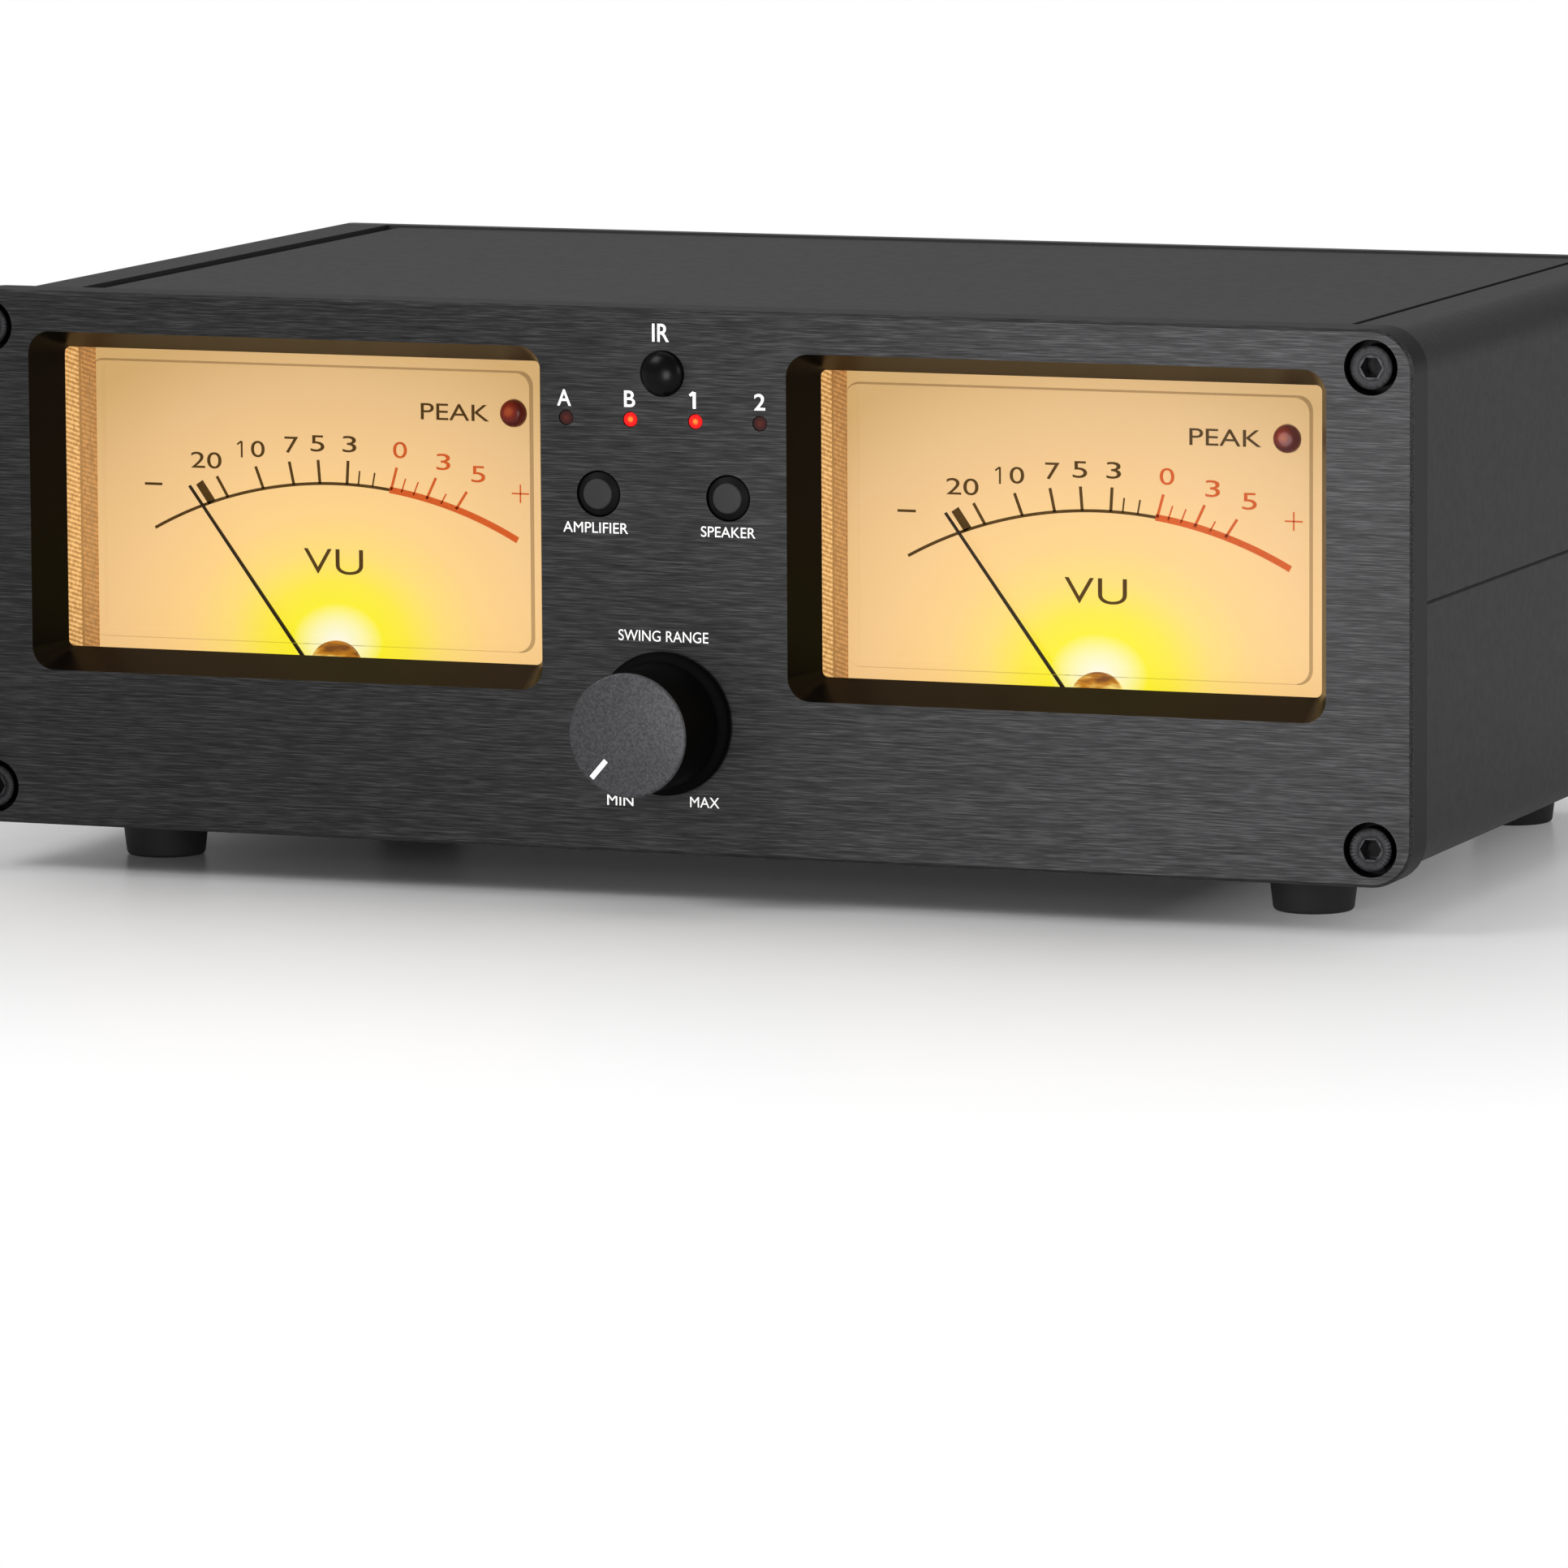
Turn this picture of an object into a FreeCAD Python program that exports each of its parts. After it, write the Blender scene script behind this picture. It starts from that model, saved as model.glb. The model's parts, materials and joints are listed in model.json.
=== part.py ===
"""Desktop stereo level meter with an amplifier and speaker selector.

The case is two extruded half shells closed by a thick front panel and a thin
rear panel.  Two moving-coil meters, a control board and a volume control sit
behind the front panel, and a main board with relays carries the rear sockets.

Row frame: +X right seen from the front, +Y from the front panel to the rear,
+Z up.  The origin is on the table, under the middle of the whole object.
Inside each piece, Y counts from the front face of the front panel.
"""
import FreeCAD, Part
import math
import os
import re
import Sketcher

SIZES = {
    # front panel
    "panel_width": 200, "panel_height": 70, "panel_thick": 6, "panel_corner": 5.5, "panel_chamfer": 0.4,
    "window_offset": 52.75, "window_rise": 7.55, "window_width": 71.9, "window_tall": 44.3,
    "window_bevel": 2.5, "window_corner": 3, "window_back_corner": 0.8,
    # extruded shells and rear panel
    "case_depth": 120, "shell_inset": 0.9, "shell_wall": 2.2, "shell_corner": 5, "lip_height": 1.5,
    "lap_gap": 0.1, "seam_chamfer": 0.25, "groove_inset": 12.1, "groove_width": 2, "groove_deep": 1,
    "crown_drop": 0.3, "port_size": 8.2, "rear_thick": 2,
    # case screws
    "screw_inset_x": 5.5, "screw_inset_z": 4.8, "screw_thread": 2.9, "screw_hole": 3, "screw_clear": 3.3,
    "screw_head": 5.5, "screw_head_tall": 3, "screw_well": 7, "screw_sunk": 0.2, "screw_bite": 10,
    "hex_key": 2.5, "hex_deep": 1.6, "pan_head_tall": 1.8,
    # feet
    "foot_height": 6.4, "foot_inset": 19.2, "foot_front": 22, "foot_rear_inset": 12, "foot_top": 12.1,
    "foot_screw_short": 0.2, "foot_base": 10.3, "foot_edge": 0.8, "foot_well": 7, "foot_well_deep": 3.6,
    # knob and volume control
    "knob_drop": 18.1, "knob_reach": 13.1, "knob_width": 16, "knob_flange": 18.5, "knob_flange_thick": 1.6,
    "knob_gap": 0.4, "knob_edge": 0.5, "shaft_width": 6, "shaft_gap": 0.04, "shaft_reach": 10,
    "shaft_room": 0.5, "shaft_end_gap": 0.5, "set_screw_gap": 0.05, "set_screw_sunk": 0.6,
    "bushing_width": 7, "bushing_reach": 3, "bushing_gap": 0.1, "nut_flats": 9.6,
    "nut_thick": 2, "nut_room": 1, "nut_gap": 0.025, "set_screw": 3,
    "pot_width": 16, "pot_thick": 7.6, "pot_wall": 1,
    # buttons, lamps and infrared window
    "button_place": 8.87, "button_rise": 11.05, "button_hole": 6, "button_width": 5.6, "button_proud": 0.5,
    "button_edge": 0.5, "button_edge_end": 0.3,
    "button_travel": 0.5, "button_collar": 7.4, "button_collar_thick": 1, "button_slack": 0.15,
    "button_stop": 0.05,
    "switch_width": 6, "switch_thick": 3.6, "switch_stem": 3, "switch_stem_tall": 0.6,
    "lamp_place": 8.85, "lamp_pair": 4.4, "lamp_rise": 20.7, "lamp_hole": 2, "lamp_width": 1.8,
    "lamp_sunk": 0.1, "lamp_base": 3, "lamp_base_thick": 3.6,
    "eye_rise": 26.7, "eye_width": 6, "eye_proud": 1.6, "eye_stem": 4.6, "eye_gap": 0.1,
    "receiver_width": 6.4, "receiver_tall": 5.6, "receiver_thick": 4.4, "receiver_gap": 0.3,
    # boards
    "board_thick": 1.6, "board_gap": 0.4, "control_half": 15, "control_half_tall": 31,
    "main_side": 11.9, "main_gap": 4.3, "main_deep": 60, "standoff_width": 6, "standoff_tall": 5,
    "board_hole_inset": 5, "plug_half": 8, "plug_tall": 6, "plug_deep": 6, "plug_drop": 23,
    "ribbon_half": 6.5, "ribbon_thick": 1,
    "relay_pitch": 34, "relay_width": 29, "relay_deep": 13, "relay_tall": 15.7, "relay_inset": 20,
    # meter
    "meter_half": 35.8, "meter_wall": 1.5, "meter_top": 22.1, "meter_bottom": 38.7, "meter_corner": 1.2,
    "dial_setback": 11, "dial_thick": 0.8, "dial_gap": 0.2, "dial_foot": 23, "ledge_width": 1.9,
    "boss_width": 7.2, "boss_thick": 0.7, "boss_rise": 4, "boss_flat": 0.1,
    "cover_setback": 2, "cover_width": 62, "cover_tall": 36, "cover_shift": 0.3, "cover_wall": 1.2,
    "cover_raise": 3.5, "cover_draft": 1, "cover_corner": 2, "overlap": 0.1,
    "peak_place": 25.2, "peak_rise": 11.6, "peak_width": 3.6, "peak_proud": 1, "peak_gap": 0.1,
    "light_foot": 24, "light_setback": 7, "light_thick": 1.2, "light_gap": 0.2, "coil_room": 1.2,
    "bulb_drop": 19.3, "bulb_width": 5, "bulb_gap": 0.6, "bulb_flat": 0.1,
    # meter movement
    "pivot_drop": 27, "needle_rest": 36, "needle_reach": 34.4, "needle_lift": 1.6, "needle_thick": 0.4,
    "needle_root": 0.45, "needle_tip": 0.28, "tail_reach": 6, "tail_width": 2.2, "hub_width": 3.6,
    "pivot_pin": 0.8, "pivot_gap": 0.05, "pin_short": 0.2, "bridge_gap": 0.3, "bridge_thick": 1.2,
    "bridge_tall": 4, "hub_proud": 1, "leg_inner": 8.2, "leg_outer": 9.6,
    "yoke_width": 20, "yoke_bore": 14.5, "yoke_thick": 8, "core_width": 10, "core_thick": 7,
    "coil_radius": 6.6, "coil_wire": 1, "coil_wide": 3, "coil_gap": 0.4, "post_place": 3.8,
    "post_width": 1.8, "rear_bridge_tall": 12,
    "spring_start": 1.2, "spring_pitch": 0.7, "spring_wire": 0.2, "spring_tall": 0.4,
    "spring_lift": 0.8, "spring_room": 1.7, "collet_width": 2, "collet_tall": 0.6,
    # rear sockets
    "socket_pitch": 19.05, "socket_first": -80, "socket_upper": 13, "socket_lower": -6.05,
    "socket_reach": 8, "socket_flange": 12, "socket_flange_thick": 3, "socket_collar": 10, "socket_body": 8,
    "socket_gap": 0.05, "socket_inside": 12, "contact_width": 5, "contact_bore": 4, "contact_sunk": 0.6,
    "contact_wall": 1, "tail_length": 6, "tail_thick": 2, "socket_nut": 10.4, "socket_nut_thick": 2.5,
    "jack_place": 78, "jack_rise": 0, "jack_nose": 8, "jack_gap": 0.05, "jack_bore": 5.6, "jack_pin": 2.1,
    "jack_pin_sunk": 1, "jack_deep": 9.5,
    "jack_body": 11, "jack_long": 14, "jack_flange": 11, "jack_flange_thick": 1.5,
}

# Places worked out from the sizes; a name here may be used in any later formula.
PLACES = {
    "panel_front": "(knob_reach - case_depth - socket_reach) / 2",
    "panel_middle": "foot_height + panel_height / 2",
    "shell_half": "panel_width / 2 - shell_inset",
    "shell_half_tall": "panel_height / 2 - shell_inset",
    "rear_start": "case_depth - rear_thick",
    "screw_x": "panel_width / 2 - screw_inset_x",
    "screw_z": "panel_height / 2 - screw_inset_z",
    "port_inner": "shell_inner - port_size",
    "port_lower": "shell_half_tall - shell_wall - port_size",
    "shell_inner": "shell_half - shell_wall",
    "groove_inner": "shell_half - groove_inset - groove_width / 2",
    "groove_outer": "shell_half - groove_inset + groove_width / 2",
    "foot_place": "shell_half - foot_inset",
    "foot_rear": "case_depth - foot_rear_inset",
    "groove_floor": "shell_half_tall - groove_deep",
    "crown": "shell_half_tall - crown_drop",
    "foot_tall": "foot_height + shell_inset + crown_drop",
    "floor_top": "shell_wall - shell_half_tall",
    "board_foot": "floor_top + standoff_tall",
    "board_top": "board_foot + board_thick",
    "main_half": "shell_inner - main_side",
    "main_start": "meter_back + main_gap",
    "main_end": "main_start + main_deep",
    "relay_start": "main_start + relay_inset",
    "dial_depth": "panel_thick + dial_setback",
    "dial_back": "dial_depth + dial_thick",
    "cover_depth": "panel_thick + cover_setback",
    "cover_flange": "cover_depth + cover_raise",
    "light_depth": "dial_depth + light_setback",
    "needle_depth": "dial_depth - needle_lift",
    "hub_start": "needle_depth - hub_proud",
    "bridge_depth": "hub_start - bridge_gap - bridge_thick",
    "case_inner": "meter_half - meter_wall",
    "case_inner_top": "meter_top - meter_wall",
    "case_inner_foot": "meter_bottom - meter_wall",
    "case_floor": "rear_bridge_start + bridge_thick",
    "meter_back": "case_floor + meter_wall",
    "yoke_start": "light_depth + light_thick + coil_room",
    "yoke_end": "yoke_start + yoke_thick",
    "core_start": "yoke_start + (yoke_thick - core_thick) / 2",
    "core_end": "core_start + core_thick",
    "coil_front": "core_start - coil_gap - coil_wire",
    "coil_back": "core_end + coil_gap + coil_wire",
    "rear_bridge_start": "coil_back + spring_room",
    "nut_pocket": "nut_thick + nut_room",
    "nut_pocket_half": "nut_flats / sqrt(3) + nut_room",
    "shaft_bore_half": "shaft_width / 2 + shaft_gap",
    "set_screw_depth": "(shaft_reach + nut_pocket) / 2 + knob_gap",
    "shaft_end": "pot_back - pot_wall - shaft_end_gap",
    "collar_start": "panel_thick + button_slack",
    "collar_end": "collar_start + button_collar_thick",
    "receiver_start": "control_depth - receiver_thick",
    "contact_start": "rear_start - socket_inside",
    "contact_end": "case_depth + socket_reach - contact_sunk",
    "pot_back": "panel_thick + pot_thick",
    "control_depth": "pot_back + board_gap",
    "stem_front": "control_depth - switch_thick - switch_stem_tall",
    "button_back": "stem_front - button_travel - button_stop",
}

doc = FreeCAD.newDocument("level_meter")
sheet = doc.addObject("Spreadsheet::Sheet", "Sizes")
for row, (name, number) in enumerate(SIZES.items(), start=1):
    sheet.set(f"A{row}", name)
    sheet.set(f"B{row}", str(number))
    sheet.setAlias(f"B{row}", name)
doc.recompute()

pieces = []


def formula(text):
    """The text with each size as its cell, and each place as its own formula."""
    def swap(match):
        word = match.group(0)
        if word in PLACES:
            return "(" + formula(PLACES[word]) + ")"
        if word in SIZES:
            return "Sizes." + word
        return word
    return re.sub(r"[a-z][a-z_]*", swap, text)


def amount(text):
    """The number that a formula stands for, as a first position in a sketch."""
    return float(sheet.evalExpression(formula(text)))


def bind(item, path, text):
    item.setExpression(path, formula(text))


# Sketches and features

def piece(name, x="0", y="panel_front", z="panel_middle", turn=None):
    """A body with its own label and place; turn is an angle about +Y."""
    body = doc.addObject("PartDesign::Body", name)
    body.Label = name
    body.AllowCompound = True
    if turn:
        body.Placement = FreeCAD.Placement(FreeCAD.Vector(), FreeCAD.Rotation(FreeCAD.Vector(0, 1, 0), -1))
        bind(body, "Placement.Rotation.Angle", turn)
    bind(body, "Placement.Base.x", x)
    bind(body, "Placement.Base.y", y)
    bind(body, "Placement.Base.z", z)
    pieces.append(body)
    return body


def origin_part(body, role):
    return next(part for part in body.Origin.OriginFeatures if part.Role == role)


def sketch_on(body, plane, lift):
    sketch = body.newObject("Sketcher::SketchObject", "Sketch")
    sketch.AttachmentSupport = [(origin_part(body, plane), "")]
    sketch.MapMode = "FlatFace"
    bind(sketch, "AttachmentOffset.Base.z", lift)
    return sketch


def fix_point(sketch, line, point, across, up):
    """Ties one point of the sketch to the origin by two distances."""
    for kind, text in (("DistanceX", across), ("DistanceY", up)):
        number = sketch.addConstraint(Sketcher.Constraint(kind, -1, 1, line, point, amount(text)))
        bind(sketch, f"Constraints[{number}]", text)


def draw_outline(sketch, corners):
    spots = [FreeCAD.Vector(amount(across), amount(up), 0) for across, up in corners]
    first = sketch.GeometryCount
    count = len(spots)
    for turn in range(count):
        sketch.addGeometry(Part.LineSegment(spots[turn], spots[(turn + 1) % count]), False)
    for turn in range(count):
        follower = first + (turn + 1) % count
        sketch.addConstraint(Sketcher.Constraint("Coincident", first + turn, 2, follower, 1))
    for turn, (across, up) in enumerate(corners):
        fix_point(sketch, first + turn, 1, across, up)


def draw_rounded(sketch, corners, radius):
    """A rectangle with four round corners, drawn as sides and arcs in turn."""
    left, low = (amount(text) for text in corners[0])
    right, high = (amount(text) for text in corners[2])
    bend = amount(radius)
    spots = [(right - bend, low + bend), (right - bend, high - bend), (left + bend, high - bend),
             (left + bend, low + bend)]
    first = sketch.GeometryCount
    for turn, (x, y) in enumerate(spots):
        before = spots[turn - 1]
        out = math.radians(90 * turn - 90)
        lift = FreeCAD.Vector(bend * math.cos(out), bend * math.sin(out), 0)
        side = Part.LineSegment(FreeCAD.Vector(*before, 0) + lift, FreeCAD.Vector(x, y, 0) + lift)
        sketch.addGeometry(side, False)
        ring = Part.Circle(FreeCAD.Vector(x, y, 0), FreeCAD.Vector(0, 0, 1), bend)
        sketch.addGeometry(Part.ArcOfCircle(ring, out, out + math.pi / 2), False)
    for turn in range(4):
        side = first + 2 * turn
        arc = side + 1
        after = first + (2 * turn + 2) % 8
        sketch.addConstraint(Sketcher.Constraint("Tangent", side, 2, arc, 1))
        sketch.addConstraint(Sketcher.Constraint("Tangent", arc, 2, after, 1))
        sketch.addConstraint(Sketcher.Constraint("Vertical" if turn % 2 else "Horizontal", side))
        number = sketch.addConstraint(Sketcher.Constraint("Radius", arc, bend))
        bind(sketch, f"Constraints[{number}]", radius)
    limits = ((0, "DistanceY", corners[0][1]), (2, "DistanceX", corners[2][0]),
              (4, "DistanceY", corners[2][1]), (6, "DistanceX", corners[0][0]))
    for place, kind, text in limits:
        number = sketch.addConstraint(Sketcher.Constraint(kind, -1, 1, first + place, 1, amount(text)))
        bind(sketch, f"Constraints[{number}]", text)


def draw_circle(sketch, across, up, width):
    middle = FreeCAD.Vector(amount(across), amount(up), 0)
    ring = sketch.addGeometry(Part.Circle(middle, FreeCAD.Vector(0, 0, 1), amount(width) / 2), False)
    fix_point(sketch, ring, 3, across, up)
    number = sketch.addConstraint(Sketcher.Constraint("Diameter", ring, amount(width)))
    bind(sketch, f"Constraints[{number}]", width)


def extrude(body, start, length, outlines=(), circles=(), cut=False, plane="XZ_Plane"):
    """Pads or cuts outlines and circles towards the rear, or upwards on the XY plane."""
    upwards = plane == "XY_Plane"
    sketch = sketch_on(body, plane, start if upwards else f"-({start})")
    for corners in outlines:
        draw_outline(sketch, corners)
    for across, up, width in circles:
        draw_circle(sketch, across, up, width)
    feature = body.newObject("PartDesign::Pocket" if cut else "PartDesign::Pad", "Cut" if cut else "Pad")
    feature.Profile = sketch
    feature.Reversed = upwards if cut else not upwards
    bind(feature, "Length", length)
    sketch.Visibility = False
    doc.recompute()
    return feature


def bore(body, start, length, outlines=(), circles=(), plane="XZ_Plane"):
    return extrude(body, start, length, outlines, circles, cut=True, plane=plane)


def turned(body, profile):
    """Turns a profile of (radius, depth) corners about the body's own Y axis."""
    sketch = sketch_on(body, "XY_Plane", "0")
    draw_outline(sketch, profile)
    feature = body.newObject("PartDesign::Revolution", "Turned")
    feature.Profile = sketch
    feature.ReferenceAxis = (origin_part(body, "Y_Axis"), [""])
    feature.Angle = 360
    doc.recompute()
    return feature


def between(body, front, front_corners, back, back_corners, cut=False, rounds=None):
    """A loft, solid or cut, from one outline to another further back; rounds gives two corner radii."""
    sketches = []
    for turn, (start, corners) in enumerate(((front, front_corners), (back, back_corners))):
        sketch = sketch_on(body, "XZ_Plane", f"-({start})")
        if rounds:
            draw_rounded(sketch, corners, rounds[turn])
        else:
            draw_outline(sketch, corners)
        sketches.append(sketch)
    kind = "PartDesign::SubtractiveLoft" if cut else "PartDesign::AdditiveLoft"
    feature = body.newObject(kind, "Loft")
    feature.Profile = sketches[0]
    feature.Sections = [sketches[1]]
    feature.Ruled = True
    doc.recompute()
    return feature


def soften(body, kind, size_path, size, chosen):
    """A fillet or chamfer on each edge of the body for which chosen(edge) holds."""
    base = body.Tip
    names = [f"Edge{number}" for number, edge in enumerate(base.Shape.Edges, start=1) if chosen(edge)]
    feature = body.newObject(kind, "Softened")
    feature.Base = (base, names)
    bind(feature, size_path, size)
    doc.recompute()
    return feature


def fillet(body, radius, chosen):
    return soften(body, "PartDesign::Fillet", "Radius", radius, chosen)


def chamfer(body, size, chosen):
    return soften(body, "PartDesign::Chamfer", "Size", size, chosen)


def rectangle(left, right, low, high):
    return [(left, low), (right, low), (right, high), (left, high)]


def centred(width, tall, middle="0", across="0"):
    """A rectangle about the point (across, middle)."""
    return rectangle(f"{across} - ({width}) / 2", f"{across} + ({width}) / 2",
                     f"{middle} - ({tall}) / 2", f"{middle} + ({tall}) / 2")


def hexagon(across, up, flats):
    corner = f"({flats}) / sqrt(3)"
    return [(f"{across} + {corner} * {sign_x}", f"{up} + {corner} * {sign_z}")
            for sign_x, sign_z in (("1", "0"), ("0.5", "sqrt(0.75)"), ("-0.5", "sqrt(0.75)"),
                                   ("-1", "0"), ("-0.5", "-sqrt(0.75)"), ("0.5", "-sqrt(0.75)"))]


def corners_of(x, z):
    return [(f"{side_x} * ({x})", f"{side_z} * ({z})") for side_x in ("-1", "1") for side_z in ("-1", "1")]


def middle_of(edge):
    return edge.valueAt((edge.FirstParameter + edge.LastParameter) / 2)


def backwardness(edge):
    """How far a straight edge runs along Y, from 0 to 1; 0 for a curved edge."""
    ends = [corner.Point for corner in edge.Vertexes]
    if len(ends) < 2 or edge.Length - (ends[1] - ends[0]).Length > 1e-6:
        return 0
    return abs((ends[1] - ends[0]).y) / edge.Length


def runs_back(edge):
    """True for a straight edge along Y."""
    return backwardness(edge) > 0.999


def near(value, text):
    return abs(value - amount(text)) < 0.01


# Front panel

WINDOWS = (("left", "-window_offset"), ("right", "window_offset"))
SCREW_SPOTS = corners_of("screw_x", "screw_z")
LAMP_PLACES = ("-lamp_place - lamp_pair", "-lamp_place + lamp_pair",
               "lamp_place - lamp_pair", "lamp_place + lamp_pair")


def front_panel():
    body = piece("front_panel")
    extrude(body, "0", "panel_thick", [centred("panel_width", "panel_height")])
    fillet(body, "panel_corner", runs_back)
    chamfer(body, "panel_chamfer", lambda edge: near(middle_of(edge).y, "0"))
    for _, offset in WINDOWS:
        outer = centred("window_width", "window_tall", "window_rise", offset)
        inner = centred("window_width - 2 * window_bevel", "window_tall - 2 * window_bevel",
                        "window_rise", offset)
        between(body, "0", outer, "panel_thick", inner, cut=True,
                rounds=("window_corner", "window_back_corner"))
    bore(body, "0", "screw_head_tall + screw_sunk", circles=[(x, z, "screw_well") for x, z in SCREW_SPOTS])
    bore(body, "0", "panel_thick", circles=[(x, z, "screw_clear") for x, z in SCREW_SPOTS])
    holes = [(f"{side} * button_place", "button_rise", "button_hole") for side in ("-1", "1")]
    holes += [(x, "lamp_rise", "lamp_hole") for x in LAMP_PLACES]
    holes += [("0", "eye_rise", "eye_stem + 2 * eye_gap")]
    holes += [("0", "-knob_drop", "bushing_width + 2 * bushing_gap")]
    bore(body, "0", "panel_thick", circles=holes)


def front_screws():
    body = piece("front_screws")
    extrude(body, "screw_sunk", "screw_head_tall", circles=[(x, z, "screw_head") for x, z in SCREW_SPOTS])
    bore(body, "screw_sunk", "hex_deep", [hexagon(x, z, "hex_key") for x, z in SCREW_SPOTS])
    extrude(body, "screw_sunk + screw_head_tall", "panel_thick - screw_sunk - screw_head_tall + screw_bite",
            circles=[(x, z, "screw_thread") for x, z in SCREW_SPOTS])


# Shells, rear panel and feet

def shell(name, up):
    """One extruded half; up is 1 for the top half and -1 for the bottom half."""
    upper = up == "1"
    step = "shell_half - shell_wall / 2"
    lip = "lip_height"
    if not upper:
        step += " - lap_gap"
        lip += " - lap_gap"
    right = [("shell_half - seam_chamfer", "0"), ("shell_half", f"{up} * seam_chamfer"),
             ("shell_half", f"{up} * shell_half_tall"),
             ("groove_outer", f"{up} * shell_half_tall"), ("groove_outer", f"{up} * groove_floor"),
             ("groove_inner", f"{up} * groove_floor"), ("groove_inner", f"{up} * crown")]
    left = [(f"-({x})", z) for x, z in reversed(right)]
    ceiling = f"{up} * (shell_half_tall - shell_wall)"
    seam = [(step, "0"), (step, lip), ("shell_inner", lip)]
    inside = [(f"-({x})", z) for x, z in seam] + [("-shell_inner", ceiling), ("shell_inner", ceiling)]
    body = piece(name)
    extrude(body, "panel_thick", "rear_start - panel_thick", [right + left + inside + list(reversed(seam))])
    fillet(body, "shell_corner", lambda edge: runs_back(edge) and near(abs(middle_of(edge).x), "shell_half")
           and near(abs(middle_of(edge).z), "shell_half_tall"))
    ports = [rectangle(f"{side} * port_inner", f"{side} * shell_inner", f"{up} * port_lower", ceiling)
             for side in ("-1", "1")]
    extrude(body, "panel_thick", "rear_start - panel_thick", ports)
    spots = [(x, z) for x, z in SCREW_SPOTS if z.startswith("1") == upper]
    bore(body, "panel_thick", "rear_start - panel_thick", circles=[(x, z, "screw_hole") for x, z in spots])
    if not upper:
        bore(body, "-shell_half_tall", "shell_wall", circles=[(x, y, "screw_hole") for x, y in FOOT_SPOTS],
             plane="XY_Plane")


FOOT_SPOTS = [(f"{side} * foot_place", y) for side in ("-1", "1") for y in ("foot_front", "foot_rear")]
STANDOFF_SPOTS = [(f"{side} * (main_half - board_hole_inset)", y) for side in ("-1", "1")
                  for y in ("main_start + board_hole_inset", "main_end - board_hole_inset")]
SOCKET_COLUMNS = [f"socket_first + {column} * socket_pitch" for column in range(8)]


def rear_panel():
    body = piece("rear_panel")
    extrude(body, "rear_start", "rear_thick", [centred("2 * shell_half", "2 * shell_half_tall")])
    fillet(body, "shell_corner", runs_back)
    holes = [(x, z, "screw_clear") for x, z in SCREW_SPOTS]
    holes += [(x, z, "socket_body") for x in SOCKET_COLUMNS for z in ("socket_upper", "socket_lower")]
    holes += [("jack_place", "jack_rise", "jack_nose")]
    bore(body, "rear_start", "rear_thick", circles=holes)


def rear_screws():
    body = piece("rear_screws")
    extrude(body, "rear_start - screw_bite", "rear_thick + screw_bite",
            circles=[(x, z, "screw_thread") for x, z in SCREW_SPOTS])
    extrude(body, "case_depth", "pan_head_tall", circles=[(x, z, "screw_head") for x, z in SCREW_SPOTS])
    bore(body, "case_depth + pan_head_tall - hex_deep / 2", "hex_deep / 2",
         [hexagon(x, z, "hex_key") for x, z in SCREW_SPOTS])


def rubber_feet():
    body = piece("rubber_feet", z="0")
    pad = extrude(body, "0", "foot_tall", circles=[(x, y, "foot_base") for x, y in FOOT_SPOTS],
                  plane="XY_Plane")
    bind(pad, "TaperAngle", "atan((foot_top - foot_base) / 2 / foot_tall)")
    doc.recompute()
    fillet(body, "foot_edge", lambda edge: near(middle_of(edge).z, "0"))
    bore(body, "0", "foot_well_deep", circles=[(x, y, "foot_well") for x, y in FOOT_SPOTS],
         plane="XY_Plane")
    bore(body, "0", "foot_tall", circles=[(x, y, "screw_clear") for x, y in FOOT_SPOTS], plane="XY_Plane")


def foot_screws():
    body = piece("foot_screws", z="0")
    extrude(body, "foot_well_deep - pan_head_tall", "pan_head_tall",
            circles=[(x, y, "screw_head") for x, y in FOOT_SPOTS], plane="XY_Plane")
    extrude(body, "foot_well_deep", "foot_tall - foot_well_deep + shell_wall - foot_screw_short",
            circles=[(x, y, "screw_thread") for x, y in FOOT_SPOTS], plane="XY_Plane")


# Volume knob and potentiometer

def knob_level():
    return "panel_middle - knob_drop"


def knob():
    body = piece("knob", z=knob_level())
    turned(body, [("0", "-knob_reach"), ("knob_width / 2 - knob_edge", "-knob_reach"),
                  ("knob_width / 2", "-knob_reach + knob_edge"),
                  ("knob_width / 2", "-knob_gap - knob_flange_thick"),
                  ("knob_flange / 2", "-knob_gap - knob_flange_thick / 2"),
                  ("knob_flange / 2", "-knob_gap"),
                  ("nut_pocket_half", "-knob_gap"),
                  ("nut_pocket_half", "-nut_pocket - knob_gap"),
                  ("shaft_bore_half", "-nut_pocket - knob_gap"),
                  ("shaft_bore_half", "-shaft_reach - shaft_room"),
                  ("0", "-shaft_reach - shaft_room")])
    bore(body, "0", "knob_width", circles=[("0", "-set_screw_depth", "set_screw")], plane="XY_Plane")


def knob_set_screw():
    body = piece("knob_set_screw", z=knob_level())
    extrude(body, "shaft_width / 2", "knob_width / 2 - shaft_width / 2 - set_screw_sunk", plane="XY_Plane",
            circles=[("0", "-set_screw_depth", "set_screw - 2 * set_screw_gap")])


def potentiometer():
    body = piece("potentiometer", z=knob_level())
    extrude(body, "panel_thick", "pot_thick", [centred("pot_width", "pot_width")])
    extrude(body, "-bushing_reach", "panel_thick + bushing_reach", circles=[("0", "0", "bushing_width")])
    bore(body, "-bushing_reach", "bushing_reach + pot_back - pot_wall",
         circles=[("0", "0", "2 * shaft_bore_half")])


def potentiometer_shaft():
    body = piece("potentiometer_shaft", z=knob_level())
    extrude(body, "-shaft_reach", "shaft_reach + shaft_end", circles=[("0", "0", "shaft_width")])


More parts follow.
